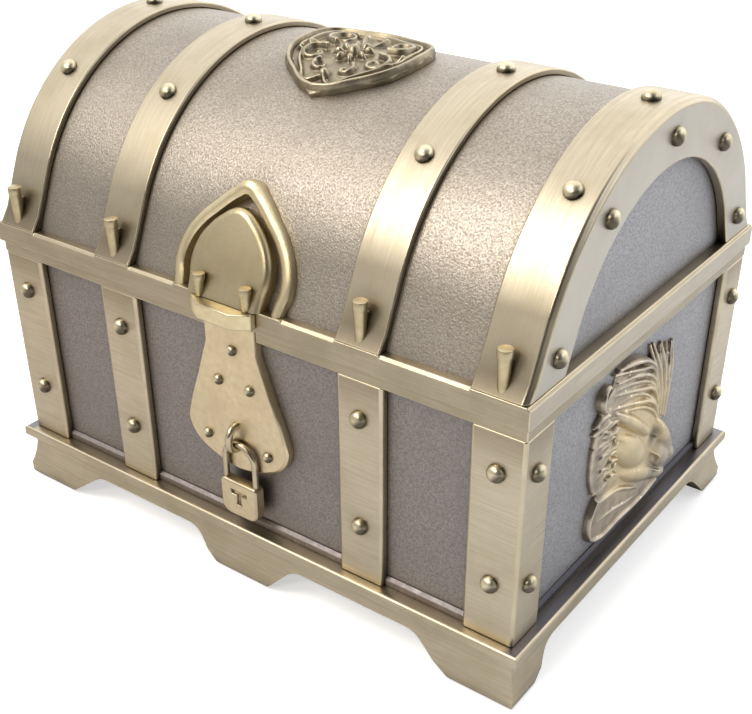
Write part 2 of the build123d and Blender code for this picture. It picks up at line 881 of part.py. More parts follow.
def make_hasp_bracket():
    """The faceted catch in front of the rail, hollow underneath."""
    front_y = -rail_y - bracket_proud
    facet_y = front_y + bracket_facet_depth
    top = rail_top - bracket_top_drop
    outer = [
        (-bracket_side_half_width, -rail_y),
        (-bracket_side_half_width, facet_y),
        (-bracket_front_half_width, front_y),
        (bracket_front_half_width, front_y),
        (bracket_side_half_width, facet_y),
        (bracket_side_half_width, -rail_y),
    ]
    side = bracket_side_half_width - bracket_wall
    front = bracket_front_half_width - bracket_wall / 2
    inner = [
        (-side, -rail_y),
        (-side, facet_y + bracket_wall / 2),
        (-front, front_y + bracket_wall),
        (front, front_y + bracket_wall),
        (side, facet_y + bracket_wall / 2),
        (side, -rail_y),
    ]
    block = run_along_z(plain_face(outer), top - bracket_height, top)
    return block - run_along_z(plain_face(inner), top - bracket_height - overrun, top - bracket_wall)


def make_hasp_studs(plate):
    studs = []
    front_y = arch_foot_y(band_relief) + hasp_stud_reach
    for side in (-1, 1):
        stud = nail_stud(side * hasp_stud_place, hasp_stud_head_radius, hasp_stud_rise, front_y)
        stud = above_rail(stud) - run_along_x(arch_face(band_relief), -far, far)
        studs.append(stud - plate)
    return Compound(studs)


# Lion's head


def swelling(across, up, half_length, half_height, relief, dip):
    """A low egg-shaped dome on the right panel."""
    lengthwise = (0, cos(radians(dip)), -sin(radians(dip)))
    seat = Plane(origin=(panel_x, across, up), x_dir=lengthwise, z_dir=(1, 0, 0))
    return seat.location * faceted_dome(half_length, half_height, relief, head_sides)


def mane_lock(turn, reach, relief):
    """One pointed lock of the mane, swept to one side."""
    side = lock_width / 2
    middle = (lock_root + reach) / 2
    outline = plain_face([
        (lock_root, -side),
        (middle, lock_sweep / 2 - side),
        (reach, lock_sweep - lock_tip),
        (reach - lock_tip, lock_sweep + lock_tip),
        (middle, lock_sweep / 2 + side),
        (lock_root, side),
    ])
    place = Pos(lion_across, lion_z) * Rot(0, 0, turn)
    return run_along_x(place * outline, panel_x, panel_x + relief)


def make_right_lion():
    """A lion's head in profile over a collar, raised from the end panel."""
    collar = rounded_face([
        (-collar_left, ledge + collar_low, collar_corner),
        (collar_right, ledge + collar_low, collar_corner),
        (collar_right, ledge + collar_high, collar_corner),
        (-collar_left, ledge + collar_high, collar_corner),
    ])
    relief = run_along_x(collar, panel_x, panel_x + collar_relief)
    step = (mane_end - mane_start) / (lock_count - 1)
    for index in range(lock_count):
        height = lock_relief if index % 2 else lock_low_relief
        relief += mane_lock(mane_start + index * step, lock_reach, height)
    skull = swelling(lion_across, lion_z, lion_skull_length, lion_skull_height, lion_skull_relief, 0)
    muzzle_y = lion_across + muzzle_across
    muzzle_z = lion_z - muzzle_drop
    muzzle = swelling(muzzle_y, muzzle_z, muzzle_length, muzzle_width, muzzle_relief, muzzle_dip)
    return relief + skull + muzzle


# Crest


def under_facets(height):
    """The space under a faceted copy of the barrel's arc, at a height over the barrel."""
    radius = arch_radius - band_relief + height
    step = 2 * crest_reach_turn / crest_facets
    arc = [arch_point(radius, index * step - crest_reach_turn) for index in range(crest_facets + 1)]
    return run_along_x(plain_face(arc), -far, far)


def crest_outline(inset):
    """A shield in plan, its point to the front."""
    wide = crest_half_width - inset
    tip = crest_tip - 2 * inset
    corner = (wide * crest_corner_share, inset / 2 - crest_corner)
    shoulder = (wide * crest_shoulder_share, crest_shoulder - inset / 2)
    flank_middle = (wide * crest_flank_across_share, -tip * crest_flank_along_share)
    side_middle = (wide, (corner[1] + shoulder[1]) / 2)
    flank = ThreePointArc((0, -tip), flank_middle, corner)
    side = ThreePointArc(corner, side_middle, shoulder)
    right = []
    for arc in (flank, side):
        for step in range(crest_arc_steps):
            point = arc @ ((step + 1) / crest_arc_steps)
            right.append((point.X, point.Y))
    left = [(-across, up) for across, up in reversed(right)]
    return plain_face([(0, -tip)] + right + [(0, crest_back - inset)] + left)


def make_crest_plaque():
    plate = run_along_z(crest_outline(0), arch_centre_z, far) & under_facets(crest_relief)
    return plate - run_along_x(arch_face(band_relief), -far, far)


def scroll(x, y, turn):
    """An open ring in plan, like the letter C."""
    inner_radius = scroll_radius - scroll_wire
    ring = RegularPolygon(scroll_radius, scroll_sides) - RegularPolygon(inner_radius, scroll_sides)
    reach = 2 * scroll_radius
    half_opening = radians(scroll_opening / 2)
    opening = plain_face([
        (0, 0),
        (reach * cos(half_opening), reach * sin(half_opening)),
        (reach * cos(half_opening), -reach * sin(half_opening)),
    ])
    return Pos(x, y) * Rot(0, 0, turn) * (ring - opening)


def make_crest_ornament():
    """A raised rim, a boss, a bead near the point and four open scrolls on the shield."""
    plan = [
        crest_outline(0) - crest_outline(crest_rim),
        Pos(0, -scroll_middle) * RegularPolygon(boss_radius, scroll_sides),
        Pos(0, -bead_place) * RegularPolygon(bead_radius, scroll_sides),
    ]
    across = crest_half_width * scroll_spread_share
    for side in (-1, 1):
        opening_turn = 0 if side > 0 else 180
        plan.append(scroll(side * across, scroll_spacing / 2 - scroll_middle, opening_turn))
        plan.append(scroll(side * across, -scroll_spacing / 2 - scroll_middle, opening_turn))
    shell = under_facets(crest_relief + crest_ornament_relief) - under_facets(crest_relief)
    pieces = [run_along_z(face, arch_centre_z, far) & shell for face in plan]
    return Compound([solid for piece in pieces for solid in piece.solids()])


def make_parts():
    front_panel = make_front_panel()
    right_panel = make_right_panel()
    corner = make_corner_strap()
    strap = make_front_strap()
    front_rivets = make_front_rivets()
    end_rivets = make_right_end_rivets()
    lion = make_right_lion()
    lid_end = make_right_lid_end()
    end_band = make_right_end_band()
    mid_band = make_mid_band()
    arch_rivets = make_right_arch_rivets()
    hasp_plate = make_hasp_plate()
    body_leaf = make_hinge_body_leaf()
    lid_leaf = make_hinge_lid_leaf()
    pin = make_hinge_pin()
    return {
        "plinth": make_plinth(),
        "floor_plate": make_floor_plate(),
        "floor_felt": make_floor_felt(),
        "front_panel": front_panel,
        "rear_panel": mirrored_y(front_panel),
        "right_panel": right_panel,
        "left_panel": mirrored_x(right_panel),
        "body_rim": make_body_rim(),
        "base_moulding": make_base_moulding(),
        "front_right_corner_strap": corner,
        "front_left_corner_strap": mirrored_x(corner),
        "rear_right_corner_strap": mirrored_y(corner),
        "rear_left_corner_strap": mirrored_x(mirrored_y(corner)),
        "front_right_strap": strap,
        "front_left_strap": mirrored_x(strap),
        "rear_right_strap": mirrored_y(strap),
        "rear_left_strap": mirrored_x(mirrored_y(strap)),
        "front_rivets": front_rivets,
        "rear_rivets": mirrored_y(front_rivets),
        "right_end_rivets": end_rivets,
        "left_end_rivets": mirrored_x(end_rivets),
        "lock_plate": make_lock_plate(),
        "lock_plate_rivets": make_lock_plate_rivets(),
        "lock_staple": make_lock_staple(),
        "padlock_shackle": make_padlock_shackle(),
        "padlock_case": make_padlock_case(),
        "right_lion": lion,
        "left_lion": mirrored_x(lion),
        "right_hinge_body_leaf": body_leaf,
        "left_hinge_body_leaf": mirrored_x(body_leaf),
        "right_hinge_lid_leaf": lid_leaf,
        "left_hinge_lid_leaf": mirrored_x(lid_leaf),
        "right_hinge_pin": pin,
        "left_hinge_pin": mirrored_x(pin),
        "lid_rail": make_lid_rail(),
        "lid_barrel": make_lid_barrel(),
        "right_lid_end": lid_end,
        "left_lid_end": mirrored_x(lid_end),
        "right_end_band": end_band,
        "left_end_band": mirrored_x(end_band),
        "right_mid_band": mid_band,
        "left_mid_band": mirrored_x(mid_band),
        "band_rivets": make_band_rivets(),
        "right_arch_rivets": arch_rivets,
        "left_arch_rivets": mirrored_x(arch_rivets),
        "band_studs": make_band_studs(),
        "hasp_plate": hasp_plate,
        "hasp_bow": make_hasp_bow(),
        "hasp_bracket": make_hasp_bracket(),
        "hasp_studs": make_hasp_studs(hasp_plate),
        "crest_plaque": make_crest_plaque(),
        "crest_ornament": make_crest_ornament(),
    }


os.makedirs("parts", exist_ok=True)
for name, shape in make_parts().items():
    export_step(shape, "parts/" + name + ".step")
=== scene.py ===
import json
import math

import bpy
from mathutils import Matrix, Vector

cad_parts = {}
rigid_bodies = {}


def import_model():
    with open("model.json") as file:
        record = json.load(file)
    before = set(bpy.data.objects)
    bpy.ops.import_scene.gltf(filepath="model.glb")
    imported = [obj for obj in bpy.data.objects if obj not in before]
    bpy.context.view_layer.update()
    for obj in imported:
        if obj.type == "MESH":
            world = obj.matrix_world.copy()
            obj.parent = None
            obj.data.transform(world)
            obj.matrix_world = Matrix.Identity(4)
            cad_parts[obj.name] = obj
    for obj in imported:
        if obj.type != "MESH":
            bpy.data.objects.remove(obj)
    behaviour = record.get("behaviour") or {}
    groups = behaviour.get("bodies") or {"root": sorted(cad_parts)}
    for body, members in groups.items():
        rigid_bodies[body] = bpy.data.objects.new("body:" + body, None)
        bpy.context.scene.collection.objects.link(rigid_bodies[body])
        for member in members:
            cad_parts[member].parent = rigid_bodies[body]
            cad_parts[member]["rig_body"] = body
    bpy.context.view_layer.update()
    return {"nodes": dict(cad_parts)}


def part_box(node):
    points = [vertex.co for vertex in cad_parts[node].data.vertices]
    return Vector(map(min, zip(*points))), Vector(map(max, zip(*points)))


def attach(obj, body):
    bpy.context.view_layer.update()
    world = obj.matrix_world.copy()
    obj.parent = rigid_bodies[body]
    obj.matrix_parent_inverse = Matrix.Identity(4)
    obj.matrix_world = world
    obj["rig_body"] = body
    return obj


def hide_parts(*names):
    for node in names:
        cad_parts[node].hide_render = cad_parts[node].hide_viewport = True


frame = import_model()

# A small treasure chest box of cast zinc, plated in antique brass and dark pewter.
# Lengths are in metres; the carvings and the hasp's flat castings are drawn in millimetres
# and turned to metres when they are put in place.
MM = 0.001

# Places of the straps, bands and rivets, as on the castings
STRAP_X = 25.9 * MM
CORNER_RIVET_X = 50.4 * MM
FRONT_FACE_Y = 38.5 * MM
END_FACE_X = 55.0 * MM
END_RIVET_Y = 34.9 * MM
RIVET_HEIGHTS = (21.9 * MM, 42.2 * MM)
ARCH_CENTRE_Z = 48.9 * MM
ARCH_RADIUS = 37.5 * MM
END_BAND_X = 50.275 * MM
BAND_PLACES = (-END_BAND_X, -STRAP_X, STRAP_X, END_BAND_X)
RING_FACE_X = 54.9 * MM
RING_RIVET_RADIUS = 32.8 * MM
BAND_RIVET_TURNS = (-36, 0, 36)
RING_RIVET_TURNS = (-72, -36, 0, 36, 72)
RAIL_TOP = 54.8 * MM

# Sizes of the small round pieces
RIVET_RADIUS = 1.5 * MM
RIVET_HEIGHT = 1.35 * MM
LOCK_RIVET_RADIUS = 0.95 * MM
LOCK_RIVET_HEIGHT = 0.85 * MM
LOCK_PLATE_FACE_Y = 38.7 * MM
LOCK_RIVET_PLACES = (
    (0.4 * MM, 46.0 * MM), (-3.1 * MM, 39.5 * MM), (3.7 * MM, 39.5 * MM),
    (-6.5 * MM, 27.8 * MM), (6.9 * MM, 27.8 * MM),
)

# Nails on the bands and on the hasp: place, height, radius of the cap and depth of the web behind
BAND_NAIL_Y = 37.85 * MM
BAND_NAIL_RISE = 7.3 * MM
BAND_NAIL_CAP = 1.2 * MM
BAND_NAIL_WEB = 2.6 * MM
HASP_NAIL_X = 4.85 * MM
HASP_NAIL_Y = 39.5 * MM
HASP_NAIL_RISE = 3.85 * MM
HASP_NAIL_CAP = 1.05 * MM
HASP_NAIL_WEB = 1.4 * MM

# How far the edges of the castings are rounded
BOLD_EDGE = 0.3 * MM
FINE_EDGE = 0.2 * MM
MOULDING_EDGE = 0.15 * MM

# Size of the marks of each finish along X, Y and Z: belt lines run along the long sides
LINES_ACROSS = (9 * MM, 9 * MM, 0.3 * MM)
LINES_AROUND = (0.3 * MM, 9 * MM, 9 * MM)
CAST_GRAIN = (1.2 * MM, 1.2 * MM, 1.2 * MM)

# Heights between which painted shade darkens the straps under the rail and the bands towards
# their feet, and distances from the middle between which a tone turns: paler ends painted for
# the light on them, and painted shade on the ends of the ledge and the moulding
STRAP_SHADE_HEIGHTS = (41 * MM, 50 * MM)
BAND_SHADE_HEIGHTS = (66 * MM, 54 * MM)
STRAP_END = (55.4 * MM, 55.8 * MM)
RAIL_END = (55.2 * MM, 55.7 * MM)
BAND_END = (54.7 * MM, 54.85 * MM)
LEDGE_END = (53.8 * MM, 54.8 * MM)
MOULDING_END = (53.0 * MM, 53.4 * MM)

# The side of a rivet head that is given painted shade, to the front right and below
SHADED_SIDE = (0.62, -0.66, -0.42)

# Places on the end of the box: the gilt middle of the lion's face, and its eye, which is given
# painted shade
FACE_MIDDLE = (0, 0.5 * MM, 29.5 * MM)
EYE_MIDDLE = (0, 6.9 * MM, 26.8 * MM)


# Node materials


def shade(hex_colour):
    """The linear colour of an sRGB hex value."""
    channels = [int(hex_colour[i:i + 2], 16) / 255 for i in (1, 3, 5)]
    linear = [c / 12.92 if c <= 0.04045 else ((c + 0.055) / 1.055) ** 2.4 for c in channels]
    return (*linear, 1)


def add(tree, kind, values=None, links=None, **settings):
    """Adds a node with its settings, socket values and links."""
    node = tree.nodes.new(kind)
    for name, value in settings.items():
        setattr(node, name, value)
    for name, value in (values or {}).items():
        node.inputs[name].default_value = value
    for name, socket in (links or {}).items():
        tree.links.new(socket, node.inputs[name])
    return node


def new_material(name):
    material = bpy.data.materials.new(name)
    material.use_nodes = True
    tree = material.node_tree
    return material, tree, tree.nodes["Principled BSDF"]


def pattern(tree, size, detail=2.0, roughness=0.5):
    """Noise whose blotches have a real size along each axis."""
    place = add(tree, "ShaderNodeTexCoord")
    scale = {"Scale": [1 / length for length in size]}
    scaled = add(tree, "ShaderNodeMapping", scale, {"Vector": place.outputs["Object"]})
    values = {"Scale": 1.0, "Detail": detail, "Roughness": roughness}
    noise = add(tree, "ShaderNodeTexNoise", values, {"Vector": scaled.outputs["Vector"]})
    return noise.outputs[0]


def ramp(tree, value, stops):
    """Colours at places between 0 and 1 of a value."""
    node = add(tree, "ShaderNodeValToRGB", None, {"Fac": value})
    elements = node.color_ramp.elements
    for index, (place, colour) in enumerate(stops):
        element = elements[index] if index < 2 else elements.new(place)
        element.position = place
        element.color = colour
    return node.outputs["Color"]


def grey(level):
    """A grey by its linear level, for plain light and for shares in a ramp."""
    return (level, level, level, 1)


def mixed(tree, first, second, share, blend="MIX"):
    """Two colours mixed; each of them, and the share, is a value or another node's socket."""
    node = add(tree, "ShaderNodeMix", None, None, data_type="RGBA", blend_type=blend)
    for index, value in ((0, share), (6, first), (7, second)):
        if isinstance(value, bpy.types.NodeSocket):
            tree.links.new(value, node.inputs[index])
        else:
            node.inputs[index].default_value = value
    return node.outputs[2]


def hollows(tree, reach):
    """White on open faces and dark in corners, where the antique wash stays."""
    node = add(tree, "ShaderNodeAmbientOcclusion", {"Distance": reach}, None, samples=6)
    return node.outputs["AO"]


def split_place(tree, output="Object"):
    """The three numbers of a texture coordinate."""
    place = add(tree, "ShaderNodeTexCoord")
    return add(tree, "ShaderNodeSeparateXYZ", None, {"Vector": place.outputs[output]}).outputs


def share_between(tree, value, start, end, curve="SMOOTHSTEP"):
    """0 where the value is at the start and 1 where it is at the end."""
    limits = {"From Min": start, "From Max": end}
    node = add(tree, "ShaderNodeMapRange", limits, {"Value": value}, interpolation_type=curve)
    return node.outputs[0]


def height_share(tree, start, end):
    """0 at one height and 1 at the other."""
    return share_between(tree, split_place(tree)["Z"], start, end)


def end_share(tree, near, far):
    """0 up to one distance from the middle of the box along X, and 1 from the other."""
    across = split_place(tree)["X"]
    side = add(tree, "ShaderNodeMath", None, {0: across}, operation="ABSOLUTE")
    return share_between(tree, side.outputs[0], near, far, "LINEAR")


def raise_pattern(tree, surface, pattern_socket, strength, depth):
    """Bumps a surface by a pattern."""
    values = {"Strength": strength, "Distance": depth}
    bump = add(tree, "ShaderNodeBump", values, {"Height": pattern_socket})
    tree.links.new(bump.outputs["Normal"], surface.inputs["Normal"])


def brushed_brass(name, line_size, light, dark, wash, reach, shaded_heights=None, lit_end=None,
                  ledge=None):
    """Brass plate brushed on a belt.

    Fine lines one way, drawn as coarse as they have to be to show, and a thin dark wash left in
    the corners. Painted shade darkens it towards one height; an end may be painted paler for the
    light that falls there, and the ends of a ledge get painted shade.
    """
    material, tree, surface = new_material(name)
    lines = pattern(tree, line_size, 3.0, 0.6)
    cloud = pattern(tree, (9 * MM, 9 * MM, 9 * MM), 4.0, 0.6)
    share = ramp(tree, lines, [(0.3, grey(0.3)), (0.7, grey(1))])
    tone = mixed(tree, shade(dark), shade(light), share)
    share = ramp(tree, cloud, [(0.45, grey(0)), (0.7, grey(0.7))])
    tone = mixed(tree, tone, shade(dark), share)
    # Painted shade towards one height: under the rail on the straps, towards their feet on the
    # bands
    if shaded_heights:
        share = ramp(tree, height_share(tree, *shaded_heights), [(0.0, grey(0)), (1.0, grey(0.6))])
        tone = mixed(tree, tone, shade(wash), share)
    # Painted light: the ends of the box are paler, for the light that falls on them
    if lit_end:
        reach_of_end, paint = lit_end
        share = ramp(tree, end_share(tree, *reach_of_end), [(0.0, grey(0)), (1.0, grey(0.75))])
        tone = mixed(tree, tone, shade(paint), share)
    # Painted shade on the ends of an upward ledge
    if ledge:
        facing_up = split_place(tree, "Normal")["Z"]
        share = ramp(tree, facing_up, [(0.9, grey(0)), (0.99, grey(0.85))])
        share = mixed(tree, grey(0), share, end_share(tree, *LEDGE_END))
        tone = mixed(tree, tone, shade(ledge), share)
    stops = [(0.2, grey(0.8)), (0.55, grey(0.4)), (0.93, grey(0))]
    corner = ramp(tree, hollows(tree, reach), stops)
    tree.links.new(mixed(tree, tone, shade(wash), corner), surface.inputs["Base Color"])
    sheen = ramp(tree, lines, [(0.25, grey(0.44)), (0.75, grey(0.32))])
    tree.links.new(sheen, surface.inputs["Roughness"])
    surface.inputs["Metallic"].default_value = 1.0
    raise_pattern(tree, surface, lines, 0.2, 0.02 * MM)
    return material


def rubbed_brass(name):
    """The same plate where fingers and polishing have rubbed the edges bright."""
    material, tree, surface = new_material(name)
    cloud = pattern(tree, (5 * MM, 5 * MM, 5 * MM), 3.0)
    share = ramp(tree, cloud, [(0.35, grey(0)), (0.65, grey(1))])
    tone = mixed(tree, shade("#bdb096"), shade("#cabea3"), share)
    corner = ramp(tree, hollows(tree, 1.6 * MM), [(0.15, grey(1)), (0.6, grey(0))])
    tree.links.new(mixed(tree, tone, shade("#6f5f47"), corner), surface.inputs["Base Color"])
    surface.inputs["Metallic"].default_value = 1.0
    surface.inputs["Roughness"].default_value = 0.3
    return material


def antique_heads(name):
    """Rivet heads: polished brass, dark at their feet where the wash stays and painted shade
    deepens it, and with painted shade on one side.
    """
    material, tree, surface = new_material(name)
    cloud = pattern(tree, (2 * MM, 2 * MM, 2 * MM), 2.0)
    share = ramp(tree, cloud, [(0.35, grey(0)), (0.65, grey(1))])
    tone = mixed(tree, shade("#c9bd9d"), shade("#e6dabb"), share)
    # Dark feet: the wash, deepened with painted shade
    corner = ramp(tree, hollows(tree, 2.2 * MM), [(0.4, grey(1)), (0.92, grey(0))])
    wash = shade("#453e35")
    # Painted shade in the wash's colour on one side of each head, to the front right and below
    normal = add(tree, "ShaderNodeTexCoord").outputs["Normal"]
    side = add(tree, "ShaderNodeVectorMath", {1: SHADED_SIDE}, {0: normal}, operation="DOT_PRODUCT")
    side_shade = ramp(tree, side.outputs["Value"], [(0.55, grey(0)), (0.85, grey(0.9))])
    tone = mixed(tree, tone, wash, side_shade)
    tree.links.new(mixed(tree, tone, wash, corner), surface.inputs["Base Color"])
    surface.inputs["Metallic"].default_value = 1.0
    surface.inputs["Roughness"].default_value = 0.36
    return material


def nearness(tree, middle, far, near):
    """0 at the far distance from a place on the end of the box, and 1 from the near one."""
    place = add(tree, "ShaderNodeTexCoord").outputs["Object"]
    flat = add(tree, "ShaderNodeVectorMath", {1: (0, 1, 1)}, {0: place}, operation="MULTIPLY")
    away = add(tree, "ShaderNodeVectorMath", {1: middle}, {0: flat.outputs[0]},
               operation="DISTANCE")
    return share_between(tree, away.outputs["Value"], far, near, "LINEAR")


def carved_brass(name, low, middle, high, gilt_face_and_shaded_eye=False):
    """Cast relief: the wash stays dark in the cuts, and the ridges are rubbed bright.

    The lion's face is gilt, with painted shade in its eye.
    """
    material, tree, surface = new_material(name)
    form = add(tree, "ShaderNodeNewGeometry").outputs["Pointiness"]
    cloud = pattern(tree, (2.5 * MM, 2.5 * MM, 2.5 * MM), 4.0)
    share = ramp(tree, cloud, [(0.3, grey(0.2)), (0.6, grey(1))])
    tone = mixed(tree, shade(low), shade(middle), share)
    cuts = ramp(tree, form, [(0.43, grey(1)), (0.5, grey(0))])
    tone = mixed(tree, tone, shade(low), cuts)
    ridges = ramp(tree, form, [(0.51, grey(0)), (0.58, grey(1))])
    tone = mixed(tree, tone, shade(high), ridges)
    if gilt_face_and_shaded_eye:
        face = nearness(tree, FACE_MIDDLE, 13 * MM, 8 * MM)
        share = ramp(tree, face, [(0.0, grey(0)), (1.0, grey(0.5))])
        tone = mixed(tree, tone, shade("#ecd6a2"), share)
        # Painted shade in the hollow of the eye
        eye = nearness(tree, EYE_MIDDLE, 2.6 * MM, 0.9 * MM)
        dark = add(tree, "ShaderNodeMath", {1: 0.75}, {0: eye}, operation="MULTIPLY")
        tone = mixed(tree, tone, shade("#5a5347"), dark.outputs[0])
    corner = ramp(tree, hollows(tree, 1.2 * MM), [(0.1, grey(1)), (0.6, grey(0))])
    tree.links.new(mixed(tree, tone, shade(low), corner), surface.inputs["Base Color"])
    sheen = ramp(tree, form, [(0.45, grey(0.48)), (0.55, grey(0.34))])
    tree.links.new(sheen, surface.inputs["Roughness"])
    surface.inputs["Metallic"].default_value = 1.0
    raise_pattern(tree, surface, cloud, 0.3, 0.05 * MM)
    return material


def grained_pewter(name, grain, light, dark, wash, depth, rough, dark_end=None):
    """Cast plate with an orange-peel grain, dark in its pits and rubbed on its peaks.

    The real peel is about a third of a millimetre wide, and the one on the moulding is coarser.
    """
    material, tree, surface = new_material(name)
    peel = pattern(tree, (grain, grain, grain), 3.0, 0.6)
    cloud = pattern(tree, (16 * MM, 16 * MM, 16 * MM), 3.0)
    share = ramp(tree, peel, [(0.34, grey(0)), (0.66, grey(1))])
    tone = mixed(tree, shade(dark), shade(light), share)
    share = ramp(tree, cloud, [(0.45, grey(0)), (0.75, grey(0.5))])
    tone = mixed(tree, tone, shade(dark), share)
    # Painted shade on the ends, where the moulding lies in shade at the foot of the end panels
    if dark_end:
        tone = mixed(tree, tone, shade(dark_end), end_share(tree, *MOULDING_END))
    stops = [(0.2, grey(1)), (0.6, grey(0.35)), (0.95, grey(0))]
    corner = ramp(tree, hollows(tree, 4.5 * MM), stops)
    tree.links.new(mixed(tree, tone, shade(wash), corner), surface.inputs["Base Color"])
    sheen = ramp(tree, peel, [(0.3, grey(rough + 0.1)), (0.7, grey(rough - 0.06))])
    tree.links.new(sheen, surface.inputs["Roughness"])
    surface.inputs["Metallic"].default_value = 1.0
    raise_pattern(tree, surface, peel, 0.6, depth)
    return material


def plain_steel(name):
    """Drawn steel wire, as the hinge pins are made of."""
    material, tree, surface = new_material(name)
    lines = pattern(tree, (6 * MM, 0.3 * MM, 0.3 * MM), 2.0)
    tone = ramp(tree, lines, [(0.3, shade("#6f6a62")), (0.7, shade("#8d877c"))])
    tree.links.new(tone, surface.inputs["Base Color"])
    surface.inputs["Metallic"].default_value = 1.0
    surface.inputs["Roughness"].default_value = 0.35
    return material


def pressed_felt(name):
    """Black wool felt: a dull pile with short fibres that catch a little light."""
    material, tree, surface = new_material(name)
    fibres = pattern(tree, (0.35 * MM, 0.35 * MM, 0.35 * MM), 6.0, 0.75)
    tone = ramp(tree, fibres, [(0.3, shade("#15151a")), (0.75, shade("#36363d"))])
    tree.links.new(tone, surface.inputs["Base Color"])
    surface.inputs["Roughness"].default_value = 0.95
    surface.inputs["Sheen Weight"].default_value = 0.4
    raise_pattern(tree, surface, fibres, 0.6, 0.15 * MM)
    return material


# Upright and arched brass get painted shade towards one height and painted light on their ends, the
# rail painted light on its ends, and the plinth painted shade on the ends of its ledge
BRASS_UPRIGHT = brushed_brass(
    "brass_brushed_across", LINES_ACROSS, "#cdc1aa", "#b7aa92", "#7d6e57", 3.4 * MM,
    shaded_heights=STRAP_SHADE_HEIGHTS, lit_end=(STRAP_END, "#d9d6ce"))
BRASS_RAIL = brushed_brass(
    "brass_brushed_brown", LINES_ACROSS, "#b3a791", "#9c917b", "#66583f", 2.4 * MM,
    lit_end=(RAIL_END, "#dcd6cb"))
BRASS_PLINTH = brushed_brass(
    "brass_brushed_plinth", LINES_ACROSS, "#cabea6", "#b1a48a", "#5f574d", 2.6 * MM,
    ledge="#73747f")
BRASS_ARCHED = brushed_brass(
    "brass_brushed_around", LINES_AROUND, "#c9bda6", "#b0a389", "#5f5240", 3.0 * MM,
    shaded_heights=BAND_SHADE_HEIGHTS, lit_end=(BAND_END, "#c3beb3"))
BRASS_CAST = brushed_brass(
    "brass_cast_satin", CAST_GRAIN, "#c9bb99", "#b3a380", "#7b6a50", 1.2 * MM)
BRASS_PLATE = brushed_brass(
    "brass_cast_pale", CAST_GRAIN, "#e4d2b0", "#cfbd9b", "#8d7b60", 0.9 * MM)
# The hasp's bow and bracket are painted paler: a painted highlight for the bright light they catch
BRASS_BOW_LIT = brushed_brass(
    "brass_cast_pale_lit", CAST_GRAIN, "#e8dab4", "#d3c39c", "#a39373", 0.5 * MM)
BRASS_LION = carved_brass("brass_carved_lion", "#8a7f72", "#bdb09c", "#dfd5c0", gilt_face_and_shaded_eye=True)
BRASS_CREST = carved_brass("brass_carved_crest", "#6a6153", "#a3977f", "#d9ccad")
BRASS_RUBBED = rubbed_brass("brass_rubbed_edges")
BRASS_HEADS = antique_heads("brass_rivet_heads")
PEWTER_BARREL = grained_pewter(
    "pewter_grained_barrel", 0.33 * MM, "#b6ac9f", "#8e857a", "#6c6153", 0.11 * MM, 0.41)
PEWTER_PANEL = grained_pewter(
    "pewter_grained_panel", 0.36 * MM, "#a19994", "#85807c", "#504a48", 0.09 * MM, 0.48)
# The panels' pewter painted paler and cooler on the ends and the lid's ends, for the cool light
# that falls there
PEWTER_END_LIT = grained_pewter(
    "pewter_grained_end_lit", 0.36 * MM, "#b4b2b2", "#959496", "#454549", 0.08 * MM, 0.48)
# The moulding gets painted shade on its ends
PEWTER_MOULDING = grained_pewter(
    "pewter_moulding", 0.9 * MM, "#968d8a", "#8b8380", "#57514f", 0.05 * MM, 0.45,
    dark_end="#4c4b51")
PIN_STEEL = plain_steel("hinge_pin_steel")
FELT = pressed_felt("black_felt")


# Modelling helpers


def only(piece):
    """Selects one piece and nothing else."""
    bpy.ops.object.select_all(action="DESELECT")
    piece.select_set(True)
    bpy.context.view_layer.objects.active = piece


def body_of(node):
    return frame["nodes"][node]["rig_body"]


def stands_for(piece, *nodes):
    """The piece rides with the castings that it stands for, which are hidden."""
    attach(piece, body_of(nodes[0]))
    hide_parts(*nodes)
    return piece


def finish_faces(piece, angle, *materials):
    """Gives a piece its materials, and smooth shading where faces meet under an angle."""
    for material in materials:
        piece.data.materials.append(material)
    only(piece)
    bpy.ops.object.shade_smooth_by_angle(angle=math.radians(angle))


def softened(node, edge, material, rubbed=BRASS_RUBBED, smooth=35):
    """A copy of a casting whose sharp edges are rounded and rubbed."""
    piece = bpy.data.objects.new(node + "_piece", frame["nodes"][node].data.copy())
    bpy.context.scene.collection.objects.link(piece)
    piece.data.materials.clear()
    only(piece)
    bpy.ops.object.mode_set(mode="EDIT")
    bpy.ops.mesh.select_all(action="SELECT")
    bpy.ops.mesh.remove_doubles(threshold=0.002 * MM)
    bpy.ops.mesh.customdata_custom_splitnormals_clear()
    bpy.ops.mesh.dissolve_limited(angle_limit=math.radians(1.5))
    bpy.ops.object.mode_set(mode="OBJECT")
    piece.data.materials.append(material)
    piece.data.materials.append(rubbed)
    if edge:
        bevel = piece.modifiers.new("edges", "BEVEL")
        bevel.width = edge
        bevel.segments = 3
        bevel.limit_method = "ANGLE"
        bevel.angle_limit = math.radians(32)
        bevel.material = 1
        bpy.ops.object.modifier_apply(modifier="edges")
    finish_faces(piece, smooth)
    weighted = piece.modifiers.new("faces", "WEIGHTED_NORMAL")
    weighted.keep_sharp = True
    bpy.ops.object.modifier_apply(modifier="faces")
    return stands_for(piece, node)


def placed_copies(model, name, places):
    """Copies of a model at each place, each with its own mesh, joined as one group."""
    copies = []
    for place in places:
        copy = bpy.data.objects.new(name, model.data.copy())
        bpy.context.scene.collection.objects.link(copy)
        copy.data.transform(place)
        copies.append(copy)
    bpy.data.objects.remove(model)
    bpy.ops.object.select_all(action="DESELECT")
    for copy in copies:
        copy.select_set(True)
    bpy.context.view_layer.objects.active = copies[0]
    if len(copies) > 1:
        bpy.ops.object.join()
    return bpy.context.view_layer.objects.active


